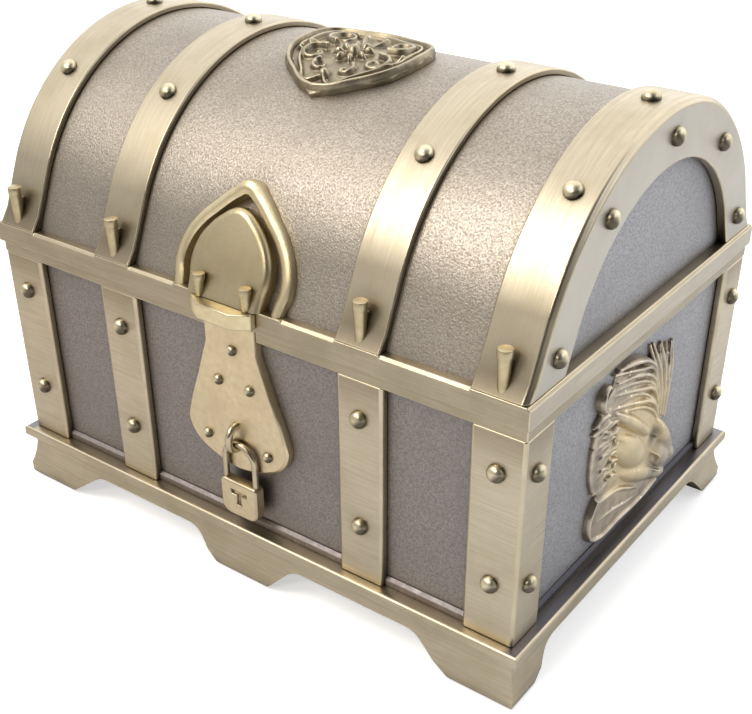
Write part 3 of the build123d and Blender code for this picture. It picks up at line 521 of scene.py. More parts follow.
def facing(place, outward, up=(0, 0, 1)):
    """Places a model that stands on Z so that it points outwards."""
    z_axis = Vector(outward).normalized()
    x_axis = Vector(up).cross(z_axis)
    if x_axis.length < 0.01:
        x_axis = Vector((1, 0, 0))
    x_axis.normalize()
    y_axis = z_axis.cross(x_axis)
    turn = Matrix((x_axis, y_axis, z_axis)).transposed().to_4x4()
    return Matrix.Translation(place) @ turn


def domed_head(radius, height, around=28, rings=14):
    """A rivet head: a ball flattened, cut at its widest and drawn down to a short foot."""
    bpy.ops.object.select_all(action="DESELECT")
    bpy.ops.mesh.primitive_uv_sphere_add(segments=around, ring_count=rings, radius=radius)
    head = bpy.context.active_object
    bpy.ops.object.mode_set(mode="EDIT")
    bpy.ops.mesh.select_all(action="SELECT")
    foot = 0.15 * height
    bpy.ops.transform.resize(value=(1, 1, (height - foot) / radius))
    bpy.ops.mesh.bisect(plane_co=(0, 0, 0), plane_no=(0, 0, 1), clear_inner=True,
                        use_fill=False)
    bpy.ops.mesh.select_all(action="SELECT")
    bpy.ops.transform.translate(value=(0, 0, foot))
    bpy.ops.mesh.select_all(action="DESELECT")
    bpy.ops.mesh.select_non_manifold()
    bpy.ops.mesh.extrude_region_move(TRANSFORM_OT_translate={"value": (0, 0, -foot)})
    bpy.ops.object.mode_set(mode="OBJECT")
    return head


def nail(cap, rise, back):
    """A nail with its cap upwards, and the thin web behind it that joins it to its band."""
    profile = (
        (0.68 * cap, 0), (0.86 * cap, rise - 1.3 * cap), (0.87 * cap, rise - 1.18 * cap),
        (0.98 * cap, rise - 1.12 * cap), (cap, rise - 1.04 * cap), (cap, rise - 0.16 * cap),
        (0.95 * cap, rise - 0.06 * cap), (0.84 * cap, rise - 0.01 * cap),
    )
    bpy.ops.object.select_all(action="DESELECT")
    bpy.ops.mesh.primitive_circle_add(vertices=24, radius=profile[0][0])
    piece = bpy.context.active_object
    bpy.ops.object.mode_set(mode="EDIT")
    bpy.ops.mesh.select_all(action="SELECT")
    for (radius, low), (next_radius, high) in zip(profile, profile[1:]):
        bpy.ops.mesh.extrude_edges_move(TRANSFORM_OT_translate={"value": (0, 0, high - low)})
        share = next_radius / radius
        bpy.ops.transform.resize(value=(share, share, 1), center_override=(0, 0, high))
    bpy.ops.mesh.extrude_edges_move(TRANSFORM_OT_translate={"value": (0, 0, 0.01 * cap)})
    bpy.ops.mesh.merge(type="CENTER")
    bpy.ops.object.mode_set(mode="OBJECT")
    bpy.ops.object.select_all(action="DESELECT")
    bpy.ops.mesh.primitive_cube_add(size=1)
    bpy.ops.object.mode_set(mode="EDIT")
    bpy.ops.mesh.select_all(action="SELECT")
    web_rise = rise - 1.9 * cap
    bpy.ops.transform.resize(value=(0.7 * cap, back, web_rise))
    bpy.ops.transform.translate(value=(0, back / 2, web_rise / 2))
    bpy.ops.object.mode_set(mode="OBJECT")
    piece.select_set(True)
    bpy.context.view_layer.objects.active = piece
    bpy.ops.object.join()
    return piece


def nail_group(node, cap, rise, back, places):
    """Nails that stand on the rail's top, each with its web towards the barrel behind it."""
    spots = [
        Matrix.Translation((x, y, RAIL_TOP)) @ Matrix.Rotation(math.pi if y > 0 else 0, 4, "Z")
        for x, y in places
    ]
    group = placed_copies(nail(cap, rise, back), node + "_piece", spots)
    finish_faces(group, 35, BRASS_CAST)
    return stands_for(group, node)


def arch_place(x, radius, turn):
    """A place around the arch of the lid, in degrees from its top towards the rear."""
    angle = math.radians(turn)
    return Vector((x, radius * math.sin(angle), ARCH_CENTRE_Z + radius * math.cos(angle)))


def rivet_group(node, places, head=None):
    """Rivet heads at each place: the large ones, unless another head is given."""
    head = head or domed_head(RIVET_RADIUS, RIVET_HEIGHT)
    group = placed_copies(head, node + "_piece", places)
    finish_faces(group, 60, BRASS_HEADS)
    return stands_for(group, node)


# Body: plinth, rim, moulding, straps and their rivets

softened("plinth", BOLD_EDGE, BRASS_PLINTH)
softened("body_rim", FINE_EDGE, BRASS_RAIL)
softened("base_moulding", MOULDING_EDGE, PEWTER_MOULDING, PEWTER_MOULDING)
for side in ("front", "rear"):
    for hand in ("right", "left"):
        softened(side + "_" + hand + "_corner_strap", BOLD_EDGE, BRASS_UPRIGHT)
        softened(side + "_" + hand + "_strap", BOLD_EDGE, BRASS_UPRIGHT)

for node, facing_y in (("front_rivets", -1), ("rear_rivets", 1)):
    spots = [
        facing((x, facing_y * FRONT_FACE_Y, z), (0, facing_y, 0))
        for x in (-CORNER_RIVET_X, -STRAP_X, STRAP_X, CORNER_RIVET_X)
        for z in RIVET_HEIGHTS
    ]
    rivet_group(node, spots)
for node, facing_x in (("right_end_rivets", 1), ("left_end_rivets", -1)):
    spots = [
        facing((facing_x * END_FACE_X, y, z), (facing_x, 0, 0))
        for y in (-END_RIVET_Y, END_RIVET_Y)
        for z in RIVET_HEIGHTS
    ]
    rivet_group(node, spots)

# Lid: rail, barrel, bands and their rivets

softened("lid_rail", FINE_EDGE, BRASS_RAIL)
softened("lid_barrel", 0, PEWTER_BARREL)
for hand in ("right", "left"):
    softened(hand + "_end_band", BOLD_EDGE, BRASS_ARCHED)
    softened(hand + "_mid_band", BOLD_EDGE, BRASS_ARCHED)
spots = []
for x in BAND_PLACES:
    for turn in BAND_RIVET_TURNS:
        spot = arch_place(x, ARCH_RADIUS, turn)
        spots.append(facing(spot, (0, spot.y, spot.z - ARCH_CENTRE_Z), (1, 0, 0)))
rivet_group("band_rivets", spots)
for node, facing_x in (("right_arch_rivets", 1), ("left_arch_rivets", -1)):
    spots = [
        facing(arch_place(facing_x * RING_FACE_X, RING_RIVET_RADIUS, turn), (facing_x, 0, 0))
        for turn in RING_RIVET_TURNS
    ]
    rivet_group(node, spots)

# Castings drawn flat: lines, ridges, plates and swellings on a ground at Z = 0, in millimetres


def stroke(points, widths, height):
    """A lock or ridge of the carving: a half-round that tapers along a line of points."""
    line = bpy.data.curves.new("stroke", "CURVE")
    line.dimensions = "3D"
    line.bevel_depth = 1
    line.bevel_resolution = 3
    line.resolution_u = 8
    line.use_fill_caps = True
    spline = line.splines.new("BEZIER")
    spline.bezier_points.add(len(points) - 1)
    for index, point in enumerate(spline.bezier_points):
        point.co = (points[index][0], points[index][1], 0)
        point.handle_left_type = point.handle_right_type = "AUTO"
        point.radius = widths[index]
    ridge = bpy.data.objects.new("stroke", line)
    bpy.context.scene.collection.objects.link(ridge)
    only(ridge)
    bpy.ops.object.convert(target="MESH")
    ridge = bpy.context.active_object
    ridge.data.transform(Matrix.Diagonal((1, 1, height / max(widths), 1)))
    return ridge


def arched_line(shares, half_width, height):
    """A line up one side of an arch, over its top and down the other side, in millimetres."""
    right = [(across * half_width, up * height) for across, up in shares]
    return [(-across, up) for across, up in right[:-1]] + right[::-1]


def filled_plate(line, thickness, edge):
    """A plate with a rounded edge inside a closed outline, its top on Z = 0."""
    outline = bpy.data.curves.new("plate", "CURVE")
    outline.dimensions = "2D"
    outline.fill_mode = "BOTH"
    outline.extrude = thickness / 2 - edge
    outline.bevel_depth = edge
    outline.bevel_resolution = 4
    outline.offset = -edge
    outline.resolution_u = 8
    spline = outline.splines.new("BEZIER")
    spline.bezier_points.add(len(line) - 1)
    spline.use_cyclic_u = True
    for index, point in enumerate(spline.bezier_points):
        point.co = (*line[index], 0)
        corner = index in (0, len(line) - 1)
        point.handle_left_type = point.handle_right_type = "VECTOR" if corner else "AUTO"
    plate = bpy.data.objects.new("plate", outline)
    bpy.context.scene.collection.objects.link(plate)
    only(plate)
    bpy.ops.object.convert(target="MESH")
    plate = bpy.context.active_object
    plate.data.transform(Matrix.Translation((0, 0, -thickness / 2)))
    only(plate)
    bpy.ops.object.mode_set(mode="EDIT")
    bpy.ops.mesh.select_all(action="SELECT")
    bpy.ops.mesh.remove_doubles(threshold=0.001)
    bpy.ops.object.mode_set(mode="OBJECT")
    return plate


def deepened(ridge, depth):
    """A half-round ridge that stands on straight walls, instead of its lower half."""
    only(ridge)
    bpy.ops.object.mode_set(mode="EDIT")
    bpy.ops.mesh.select_all(action="SELECT")
    bpy.ops.mesh.bisect(plane_co=(0, 0, 0), plane_no=(0, 0, 1), clear_inner=True,
                        use_fill=True)
    bpy.ops.mesh.extrude_region_move(TRANSFORM_OT_translate={"value": (0, 0, -depth)})
    bpy.ops.object.mode_set(mode="OBJECT")
    return ridge


def low_ground(line, height, sunk=0.6, edge=0.45):
    """A low plate under part of a carving, partly sunk in the ground."""
    ground = filled_plate(line, height + sunk, edge)
    ground.data.transform(Matrix.Translation((0, 0, height)))
    return ground


def swelling(centre, half_length, half_width, height, turn=0):
    """An egg-shaped swelling of the carving, half sunk in the ground."""
    bpy.ops.object.select_all(action="DESELECT")
    bpy.ops.mesh.primitive_uv_sphere_add(segments=32, ring_count=16, radius=1)
    egg = bpy.context.active_object
    size = Matrix.Diagonal((half_length, half_width, height, 1))
    turned = Matrix.Rotation(math.radians(turn), 4, "Z")
    egg.data.transform(Matrix.Translation((centre[0], centre[1], 0)) @ turned @ size)
    return egg


def fused(shapes, voxel, blur):
    """One closed carving from all its strokes, with the ridges a little worn."""
    bpy.ops.object.select_all(action="DESELECT")
    for shape in shapes:
        shape.select_set(True)
    bpy.context.view_layer.objects.active = shapes[0]
    bpy.ops.object.join()
    carving = bpy.context.active_object
    blend = carving.modifiers.new("fuse", "REMESH")
    blend.mode = "VOXEL"
    blend.voxel_size = voxel
    bpy.ops.object.modifier_apply(modifier="fuse")
    if blur:
        worn = carving.modifiers.new("worn", "SMOOTH")
        worn.factor = 0.5
        worn.iterations = blur
        bpy.ops.object.modifier_apply(modifier="worn")
    return carving


def cut_ground(carving, depth):
    """Takes away what lies deeper than the ground, and closes the carving there."""
    only(carving)
    bpy.ops.object.mode_set(mode="EDIT")
    bpy.ops.mesh.select_all(action="SELECT")
    bpy.ops.mesh.bisect(plane_co=(0, 0, -depth), plane_no=(0, 0, 1), clear_inner=True,
                        use_fill=True)
    bpy.ops.object.mode_set(mode="OBJECT")


def between(first, last, share):
    return tuple(a + (b - a) * share for a, b in zip(first, last))


# Hasp, lock plate and padlock

HASP_LEAN = math.radians(23)
HASP_FOOT_Y = 37.22 * MM
HASP_SLIP = -0.35 * MM

# Right side of each arch, as shares of its half width and height, up to the point on top
PLATE_SHARES = (
    (0.93, -0.3), (0.95, 0.1), (1.0, 0.3), (0.92, 0.53), (0.7, 0.735), (0.42, 0.89),
    (0.19, 0.975), (0, 1),
)
BOW_SHARES = (
    (0.9, -0.2), (0.95, 0.05), (1.0, 0.2), (0.94, 0.4), (0.77, 0.59), (0.49, 0.77),
    (0.2, 0.93), (0, 1),
)

# The flat castings in millimetres, and how far their face or their ground stands off the lid
PLATE_HALF_WIDTH, PLATE_RISE = 8.2, 14.2
PLATE_THICKNESS, PLATE_EDGE = 3.6, 1.2
PLATE_PROUD = 2.4 * MM
BOW_HALF_WIDTH, BOW_RISE = 11.0, 17.35
BOW_WIRE, BOW_POINT_WIRE, BOW_HEIGHT, BOW_DEPTH = 1.1, 1.3, 1.15, 2.4
BOW_PROUD = 0.55 * MM
STAPLE_WIRE = 0.66
STAPLE_RISE = 29.2
STAPLE_LINE = (
    (2.2, -0.6), (2.15, 0.6), (1.4, 1.6), (0, 1.95), (-1.4, 1.6), (-2.15, 0.6), (-2.2, -0.6),
)


def lean_on_lid(piece, node, proud, material):
    """Lays a flat casting on the hasp's leaning plane and cuts it off at the rail."""
    normal = Vector((0, -math.cos(HASP_LEAN), math.sin(HASP_LEAN)))
    along = Vector((0, math.sin(HASP_LEAN), math.cos(HASP_LEAN)))
    turn = Matrix((Vector((1, 0, 0)), along, normal)).transposed().to_4x4()
    foot = Vector((HASP_SLIP, -HASP_FOOT_Y, RAIL_TOP)) + normal * proud
    piece.name = node + "_piece"
    piece.data.transform(Matrix.Translation(foot) @ turn @ Matrix.Scale(MM, 4))
    only(piece)
    bpy.ops.object.mode_set(mode="EDIT")
    bpy.ops.mesh.select_all(action="SELECT")
    bpy.ops.mesh.bisect(plane_co=(0, 0, RAIL_TOP), plane_no=(0, 0, 1), clear_inner=True,
                        use_fill=True)
    bpy.ops.object.mode_set(mode="OBJECT")
    finish_faces(piece, 35, material)
    return stands_for(piece, node)


plate_line = arched_line(PLATE_SHARES, PLATE_HALF_WIDTH, PLATE_RISE)
hasp_plate = filled_plate(plate_line, PLATE_THICKNESS, PLATE_EDGE)
lean_on_lid(hasp_plate, "hasp_plate", PLATE_PROUD, BRASS_CAST)
bow_line = arched_line(BOW_SHARES, BOW_HALF_WIDTH, BOW_RISE)
bow_widths = [BOW_WIRE] * len(bow_line)
bow_widths[len(bow_line) // 2] = BOW_POINT_WIRE
hasp_bow = deepened(stroke(bow_line, bow_widths, BOW_HEIGHT), BOW_DEPTH)
lean_on_lid(hasp_bow, "hasp_bow", BOW_PROUD, BRASS_BOW_LIT)
softened("hasp_bracket", FINE_EDGE, BRASS_BOW_LIT)
spots = [(side * HASP_NAIL_X, -HASP_NAIL_Y) for side in (-1, 1)]
nail_group("hasp_studs", HASP_NAIL_CAP, HASP_NAIL_RISE, HASP_NAIL_WEB, spots)
spots = [(x, side * BAND_NAIL_Y) for x in BAND_PLACES for side in (-1, 1)]
nail_group("band_studs", BAND_NAIL_CAP, BAND_NAIL_RISE, BAND_NAIL_WEB, spots)
softened("lock_plate", FINE_EDGE, BRASS_PLATE)
spots = [facing((x, -LOCK_PLATE_FACE_Y, z), (0, -1, 0)) for x, z in LOCK_RIVET_PLACES]
small_head = domed_head(LOCK_RIVET_RADIUS, LOCK_RIVET_HEIGHT, around=20, rings=10)
rivet_group("lock_plate_rivets", spots, small_head)

# The staple's line is drawn across and out, and stands upright on the plate
staple = stroke(STAPLE_LINE, (STAPLE_WIRE,) * len(STAPLE_LINE), STAPLE_WIRE)
staple.name = "lock_staple_piece"
out_of_plate = Matrix((
    (0, 0, 1, 0),
    (0, -1, 0, -LOCK_PLATE_FACE_Y / MM),
    (1, 0, 0, STAPLE_RISE),
    (0, 0, 0, 1),
))
staple.data.transform(Matrix.Scale(MM, 4) @ out_of_plate)
finish_faces(staple, 60, BRASS_RUBBED)
stands_for(staple, "lock_staple")
softened("padlock_shackle", 0, BRASS_RUBBED, smooth=60)
softened("padlock_case", FINE_EDGE, BRASS_PLATE)


# Lions on the ends

# In millimetres: the height of the ledge, and the face of the end panels
LEDGE_RISE = 11.2
PANEL_X = 53.5

# Size of the blocks in which a carving is fused, in millimetres
FACE_BLOCK = 0.2
CARVING_BLOCK = 0.16

# Outlines of the low ground under the mane, the collar and the tuft
MANE_GROUND = (
    (-11.6, 12.6), (-14.2, 15.8), (-15.0, 21.4), (-14.2, 26.6), (-12.8, 30.0), (-8.6, 32.6),
    (-4.0, 34.2), (0.4, 32.8), (4.2, 29.8), (7.4, 28.4), (10.2, 26.0), (10.8, 22.4),
    (11.0, 18.4), (9.6, 14.0), (2.0, 12.0),
)
COLLAR_GROUND = (
    (-12.0, 12.6), (-14.2, 9.0), (-13.4, 5.2), (-10.8, 3.2), (-2.0, 2.5), (7.0, 2.0),
    (14.8, 3.6), (15.6, 6.6), (8.0, 12.0), (-4.0, 13.0),
)
TUFT_GROUND = (
    (9.8, 16.6), (7.9, 22.4), (6.3, 27.6), (5.4, 31.0), (8.8, 30.6), (12.0, 28.8),
    (11.2, 25.4), (11.5, 21.2), (12.4, 16.6),
)

# Locks of the mane from root to tip: the first and the last of each sheaf
TOP_LOCK_LOW = ((9.4, 17.2), (5.0, 21.6), (-1.4, 25.2), (-9.0, 27.0))
TOP_LOCK_HIGH = ((6.2, 27.2), (3.0, 31.6), (-2.4, 34.2), (-9.2, 35.6))
TUFT_LEFT = ((9.4, 18.6), (7.2, 24.6), (5.2, 29.6), (3.2, 34.6))
TUFT_RIGHT = ((12.4, 16.4), (11.6, 22.6), (11.6, 27.4), (13.2, 31.2))
FEATHER_HIGH = ((-9.4, 27.6), (-11.2, 28.4), (-13.2, 28.6), (-15.2, 27.6))
FEATHER_LOW = ((-8.0, 14.6), (-9.6, 15.2), (-11.4, 15.0), (-13.2, 13.8))
INNER_FEATHER_HIGH = ((-7.4, 25.4), (-8.8, 26.4), (-10.4, 26.6), (-12.0, 25.8))
INNER_FEATHER_LOW = ((-6.4, 15.0), (-7.6, 15.8), (-9.2, 15.8), (-10.8, 14.8))

# The curl behind the ear, the collar's rim and the two folds of the collar
CURL = ((-10.4, 29.4), (-12.6, 29.8), (-14.0, 32.0), (-12.2, 33.8), (-10.2, 32.6))
COLLAR_RIM = (
    (-11.8, 12.2), (-13.7, 9.0), (-13.2, 5.4), (-10.8, 3.6), (-2.0, 2.9), (7.0, 2.5),
    (12.4, 3.2),
)
UPPER_FOLD = ((-11.4, 11.6), (-5.0, 10.6), (0.0, 8.2), (5.0, 5.4))
LOWER_FOLD = ((-11.2, 7.0), (-6.0, 6.6), (0.0, 5.0), (5.6, 3.7))


def sheaf(first, last, count, widths, height):
    """Locks of hair side by side, none quite like the next."""
    locks = []
    for index in range(count):
        share = index / (count - 1)
        line = [between(start, end, share) for start, end in zip(first, last)]
        sway = 0.75 * math.sin(2.4 * index)
        line[1] = (line[1][0], line[1][1] + sway * 0.4)
        line[2] = (line[2][0] + sway * 0.6, line[2][1] - sway * 0.5)
        line[3] = (line[3][0] - sway, line[3][1] + sway * 0.7)
        locks.append(stroke(line, widths, height + (0.25 if index % 2 else 0)))
    return locks


def carve_lion():
    """A lion's head that looks down to the right, over a bordered collar.

    Its places are across from the middle of the end and up from the ledge.
    """
    skull = swelling((2.6, 16.4), 13.2, 6.8, 1.6, -39)
    cheek = swelling((-1.6, 16.8), 8.4, 3.3, 2.8, -38)
    brow = swelling((-1.6, 22.0), 9.4, 1.5, 3.1, -37)
    bridge = swelling((11.6, 13.0), 7.4, 1.9, 2.8, -53)
    muzzle = swelling((11.8, 9.0), 5.0, 3.0, 2.5, -42)
    nose = swelling((14.6, 8.2), 2.4, 1.8, 2.7, -55)
    jaw = swelling((3.6, 9.4), 9.4, 1.9, 2.2, -28)
    chin = swelling((11.4, 5.4), 4.4, 1.5, 2.1, -20)
    face = fused([skull, cheek, brow, bridge, muzzle, nose, jaw, chin], FACE_BLOCK, blur=8)
    mane_ground = low_ground(MANE_GROUND, 0.8)
    collar_ground = low_ground(COLLAR_GROUND, 0.7)
    tuft_ground = low_ground(TUFT_GROUND, 0.8)
    crown = swelling((-1.8, 28.4), 9.0, 5.6, 1.3, -28)
    neck = swelling((-10.6, 21.0), 3.0, 7.0, 1.1)
    eyeball = swelling((6.9, 15.5), 0.7, 0.5, 2.4, -40)
    lip = stroke([(7.6, 8.2), (9.8, 6.9), (12.0, 6.3)], (0.2, 0.3, 0.2), 2.75)
    nostril = stroke([(6.6, 12.4), (8.6, 10.6), (9.4, 8.4)], (0.2, 0.3, 0.2), 2.9)
    shapes = [face, mane_ground, collar_ground, tuft_ground, crown, neck, eyeball, lip, nostril]
    shapes += sheaf(TOP_LOCK_LOW, TOP_LOCK_HIGH, 8, (0.4, 0.6, 0.62, 0.3), 1.9)
    shapes += sheaf(TUFT_LEFT, TUFT_RIGHT, 7, (0.4, 0.6, 0.55, 0.2), 1.6)
    shapes += sheaf(FEATHER_HIGH, FEATHER_LOW, 10, (0.3, 0.55, 0.5, 0.25), 1.4)
    shapes += sheaf(INNER_FEATHER_HIGH, INNER_FEATHER_LOW, 8, (0.3, 0.5, 0.5, 0.25), 1.8)
    shapes.append(stroke(CURL, (0.4, 0.6, 0.65, 0.5, 0.3), 1.7))
    shapes.append(stroke(COLLAR_RIM, (0.5,) * len(COLLAR_RIM), 1.3))
    shapes.append(stroke(UPPER_FOLD, (0.5, 0.6, 0.6, 0.3), 1.5))
    shapes.append(stroke(LOWER_FOLD, (0.3, 0.45, 0.45, 0.3), 1.1))
    carving = fused(shapes, CARVING_BLOCK, blur=1)
    cut_ground(carving, depth=0.1)
    return carving


def lion_on_end(name, mirror):
    """Carves a lion and sets it on the right end, or mirrored on the left."""
    carving = carve_lion()
    carving.name = name + "_piece"
    place = Matrix(((0, 0, 1, PANEL_X), (1, 0, 0, 0), (0, 1, 0, LEDGE_RISE), (0, 0, 0, 1)))
    carving.data.transform(Matrix.Diagonal((mirror * MM, MM, MM, 1)) @ place)
    if mirror < 0:
        carving.data.flip_normals()
    finish_faces(carving, 180, BRASS_LION)
    return stands_for(carving, name)


lion_on_end("right_lion", 1)
lion_on_end("left_lion", -1)


# Crest on top of the lid. In millimetres: the radius that its flat carving is bent to, and how
# thick its plate is and how deep it is sunk before the carving is cut at the ground

CREST_RADIUS = 36.4
CREST_THICKNESS = 1.2
CREST_SUNK = 0.4


def shield_line(inset):
    """Half of the shield's outline, from its point to the middle of its back."""
    wide, tip = 12.2 - inset, 16.8 - 1.7 * inset
    return [
        (0, -tip), (wide * 0.24, inset * 0.3 - 15.2), (wide * 0.5, inset * 0.5 - 13.3),
        (wide * 0.74, inset * 0.8 - 11.4), (wide * 0.89, inset - 9.4), (wide * 0.97, -6.6),
        (wide, -3.2), (wide * 0.97, 0.4), (wide * 0.86, 3.5 - inset * 0.6),
        (wide * 0.5, 5.2 - inset), (0, 6.5 - inset),
    ]


def both_hands(points):
    """A half outline and its mirror image, as one line."""
    return points + [(-across, up) for across, up in reversed(points[:-1])]


def scroll_line(centre, radius, start, sweep, hand, count=9):
    """A line that curls in towards its centre."""
    across, up = centre
    points = []
    for index in range(count):
        share = index / (count - 1)
        turn = math.radians(start + hand * sweep * share)
        reach = radius * (1 - 0.72 * share)
        points.append((across + reach * math.cos(turn), up + reach * math.sin(turn)))
    return points


def carve_crest():
    """A shield with a double border, a rosette, a bead and open scrolls, laid flat."""
    shapes = []
    for inset, width, height in ((0.7, 0.62, 2.0), (2.3, 0.42, 1.75)):
        line = both_hands(shield_line(inset))
        shapes.append(stroke(line, (width,) * len(line), height))
    bead = swelling((0, -12.4), 1.25, 1.15, 2.3)
    rosette_up, petals, petal_reach = -4.6, 8, 2.5
    eye = swelling((0, rosette_up), 1.4, 1.4, 2.4)
    shapes += [bead, eye]
    for index in range(petals):
        turn = 360 * index / petals + 22.5
        angle = math.radians(turn)
        centre = (petal_reach * math.cos(angle), rosette_up + petal_reach * math.sin(angle))
        shapes.append(swelling(centre, 1.2, 0.65, 2.0, turn))
    for hand in (-1, 1):
        for centre, radius, start, sweep in (
            ((hand * 5.6, 0.4), 2.9, -100, 400),
            ((hand * 6.1, -7.0), 2.6, 110, -400),
            ((hand * 2.5, -10.2), 1.5, 60, -330),
        ):
            begin = start if hand > 0 else 180 - start
            line = scroll_line(centre, radius, begin, sweep, hand)
            widths = [0.66 - 0.3 * index / (len(line) - 1) for index in range(len(line))]
            shapes.append(stroke(line, widths, 2.1))
        leaf = [(hand * 0.9, -1.2), (hand * 2.0, 1.6), (hand * 1.0, 3.8)]
        shapes.append(stroke(leaf, (0.4, 0.8, 0.3), 2.0))
        bud = [(hand * 8.9, -2.6), (hand * 9.3, -4.0), (hand * 8.6, -5.2)]
        shapes.append(stroke(bud, (0.3, 0.6, 0.3), 2.0))
    ground = both_hands(shield_line(0))
    bpy.ops.object.select_all(action="DESELECT")
    bpy.ops.mesh.primitive_circle_add(vertices=len(ground) - 1, radius=1, fill_type="NGON")
    plate = bpy.context.active_object
    for vertex, point in zip(plate.data.vertices, ground):
        vertex.co = (point[0], point[1], -CREST_SUNK)
    bpy.ops.object.mode_set(mode="EDIT")
    bpy.ops.mesh.select_all(action="SELECT")
    bpy.ops.mesh.extrude_region_move(TRANSFORM_OT_translate={"value": (0, 0, CREST_THICKNESS)})
    bpy.ops.mesh.select_all(action="SELECT")
    bpy.ops.mesh.normals_make_consistent(inside=False)
    bpy.ops.object.mode_set(mode="OBJECT")
    carving = fused([plate] + shapes, CARVING_BLOCK, blur=2)
    cut_ground(carving, depth=0.0)
    return carving


crest = carve_crest()
crest.name = "crest_piece"
for vertex in crest.data.vertices:
    turn = vertex.co.y / CREST_RADIUS
    reach = CREST_RADIUS + vertex.co.z
    height = ARCH_CENTRE_Z + reach * math.cos(turn) * MM
    vertex.co = (vertex.co.x * MM, reach * math.sin(turn) * MM, height)
finish_faces(crest, 180, BRASS_CREST)
stands_for(crest, "crest_plaque", "crest_ornament")


# Castings that keep their own faces


def painted(material, *nodes):
    """Gives CAD nodes that are shown as they are one material."""
    for node in nodes:
        materials = frame["nodes"][node].data.materials
        materials.clear()
        materials.append(material)


painted(PEWTER_PANEL, "front_panel", "rear_panel")
painted(PEWTER_END_LIT, "right_panel", "left_panel", "right_lid_end", "left_lid_end")
painted(PEWTER_MOULDING, "floor_plate")
for hand in ("right", "left"):
    painted(BRASS_UPRIGHT, hand + "_hinge_body_leaf", hand + "_hinge_lid_leaf")
    painted(PIN_STEEL, hand + "_hinge_pin")

# Felt on the floor of the box, a sheet on the floor plate

FELT_THICKNESS = 1.1 * MM
FELT_GAP = 0.02 * MM

felt_low, felt_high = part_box("floor_felt")
bpy.ops.object.select_all(action="DESELECT")
bpy.ops.mesh.primitive_grid_add(x_subdivisions=60, y_subdivisions=40, size=1)
felt = bpy.context.active_object
felt.name = "floor_felt_piece"
bpy.ops.object.mode_set(mode="EDIT")
bpy.ops.mesh.select_all(action="SELECT")
bpy.ops.transform.resize(value=(felt_high.x - felt_low.x, felt_high.y - felt_low.y, 1))
bpy.ops.transform.translate(value=(0, 0, felt_low.z + FELT_GAP))
bpy.ops.object.mode_set(mode="OBJECT")
thick = felt.modifiers.new("thickness", "SOLIDIFY")
thick.thickness = FELT_THICKNESS
thick.offset = 1
bpy.ops.object.modifier_apply(modifier="thickness")
finish_faces(felt, 40, FELT)
stands_for(felt, "floor_felt")


# Studio: camera, floor and soft light

CAMERA_PLACE = (0.12085, -0.16256, 0.13985)
CAMERA_FORWARD = (-0.50463, 0.67875, -0.53352)
CAMERA_RIGHT = (0.80405, 0.59455, -0.00411)
CAMERA_UP = (-0.3144, 0.4311, 0.8458)
SENSOR_WIDTH, LENS = 36, 57.87
SHIFT_X, SHIFT_Y = 0.0036, 0.0893

# Size of the white floor, and how far it lies under the feet
FLOOR_SIZE = 6
FLOOR_DROP = 0.0001

# The dark corner of the room that the brass shows as its shadow, to the front right and above
DARK_CORNER = (0.52, -0.67, 0.53)
LAMP_AIM = (0, 0, 0.04)


def look_from(place, forward, right, up):
    """The placing of a camera that stands at a place and looks forward."""
    turn = Matrix((Vector(right), Vector(up), -Vector(forward))).transposed().to_4x4()
    return Matrix.Translation(place) @ turn


camera_data = bpy.data.cameras.new("camera")
camera = bpy.data.objects.new("camera", camera_data)
bpy.context.scene.collection.objects.link(camera)
camera.matrix_world = look_from(CAMERA_PLACE, CAMERA_FORWARD, CAMERA_RIGHT, CAMERA_UP)
camera_data.sensor_width = SENSOR_WIDTH
camera_data.lens = LENS
camera_data.shift_x = SHIFT_X
camera_data.shift_y = SHIFT_Y
camera_data.clip_start = 0.01
bpy.context.scene.camera = camera

bpy.ops.object.select_all(action="DESELECT")
bpy.ops.mesh.primitive_plane_add(size=FLOOR_SIZE, location=(0, 0, -FLOOR_DROP))
floor = bpy.context.active_object
floor.name = "studio_floor"
floor_paint, tree, surface = new_material("floor_white")
surface.inputs["Roughness"].default_value = 0.9
surface.inputs["Specular IOR Level"].default_value = 0.1

# The floor shows white, and gives the box a plain light that is warmer on the left
seen = add(tree, "ShaderNodeLightPath").outputs["Is Camera Ray"]
glow = add(tree, "ShaderNodeMath", {1: 0.55}, {0: seen}, operation="MULTIPLY")
side = share_between(tree, split_place(tree)["X"], -0.15, 0.08)
paper = mixed(tree, shade("#cfcac5"), shade("#f0f2f5"), side)
paper = mixed(tree, paper, shade("#f2f1ef"), seen)
tree.links.new(paper, surface.inputs["Base Color"])
surface.inputs["Emission Color"].default_value = grey(1)
tree.links.new(glow.outputs[0], surface.inputs["Emission Strength"])
floor.data.materials.append(floor_paint)

world = bpy.data.worlds.new("studio")
bpy.context.scene.world = world
world.use_nodes = True
tree = world.node_tree
place = add(tree, "ShaderNodeTexCoord").outputs["Generated"]
split = add(tree, "ShaderNodeSeparateXYZ", None, {"Vector": place}).outputs

# The room is a plain grey in front, and lighter above and behind
depth = add(tree, "ShaderNodeMath", {1: 0.5, 2: 0.5}, {0: split["Y"]}, operation="MULTIPLY_ADD")
walls = [(0.0, grey(0.36)), (0.4, grey(0.46)), (0.65, grey(0.85)), (1.0, grey(1))]
room = ramp(tree, depth.outputs[0], walls)
above = ramp(tree, split["Z"], [(0.15, grey(0)), (0.9, grey(1))])
room = mixed(tree, room, grey(1), above)
lift = add(tree, "ShaderNodeMath", {1: 0.75, 2: 1.05}, {0: depth.outputs[0]},
           operation="MULTIPLY_ADD")
room = add(tree, "ShaderNodeVectorMath", None, {0: room, "Scale": lift.outputs[0]},
           operation="SCALE").outputs[0]

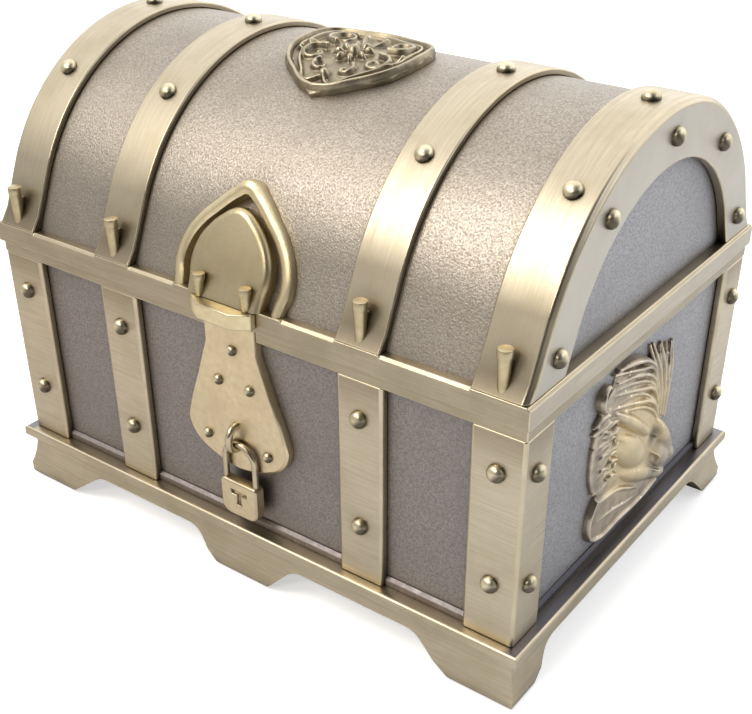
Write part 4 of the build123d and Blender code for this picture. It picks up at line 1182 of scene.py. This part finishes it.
# The right of it, beside and in front of the box, is dimmer
behind = add(tree, "ShaderNodeMath", {1: 0.0}, {0: split["Y"]}, operation="MAXIMUM")
reach = add(tree, "ShaderNodeMath", {1: 1.4}, {0: behind.outputs[0]}, operation="MULTIPLY")
leftwards = add(tree, "ShaderNodeMath", None, {0: reach.outputs[0], 1: split["X"]},
                operation="SUBTRACT")
lit = share_between(tree, leftwards.outputs[0], -0.2, 0.3)
room = mixed(tree, grey(0.3), room, lit)
off = add(tree, "ShaderNodeVectorMath", {1: DARK_CORNER}, {0: place}, operation="DISTANCE")
shadow = ramp(tree, off.outputs["Value"], [(0.45, grey(0.06)), (0.8, grey(1))])
room = mixed(tree, room, shadow, 1.0, "MULTIPLY")
seen = add(tree, "ShaderNodeLightPath").outputs["Is Camera Ray"]
sky = mixed(tree, room, grey(1), seen)
backdrop = tree.nodes["Background"]
tree.links.new(sky, backdrop.inputs["Color"])
backdrop.inputs["Strength"].default_value = 1


def softbox(name, azimuth, elevation, distance, width, height, power, tint):
    """An area lamp that points at the box; azimuth 0 is the front and 90 the right."""
    lamp = bpy.data.lights.new(name, "AREA")
    lamp.shape = "RECTANGLE"
    lamp.size = width
    lamp.size_y = height
    lamp.energy = power
    lamp.color = shade(tint)[:3]
    holder = bpy.data.objects.new(name, lamp)
    bpy.context.scene.collection.objects.link(holder)
    turn = math.radians(azimuth)
    rise = math.radians(elevation)
    level = math.cos(rise)
    toward = Vector((math.sin(turn) * level, -math.cos(turn) * level, math.sin(rise)))
    holder.location = Vector(LAMP_AIM) + toward * distance
    holder.rotation_euler = toward.to_track_quat("Z", "Y").to_euler()


softbox("key_softbox", azimuth=-34, elevation=50, distance=0.6, width=0.20, height=0.30,
        power=1.35, tint="#fffaf2")
softbox("side_softbox", azimuth=105, elevation=35, distance=0.7, width=0.4, height=0.4,
        power=0.8, tint="#e9efff")
softbox("edge_softbox", azimuth=4, elevation=38, distance=0.7, width=0.1, height=0.14,
        power=0.8, tint="#fff8ec")

bpy.context.scene.view_settings.view_transform = "Standard"
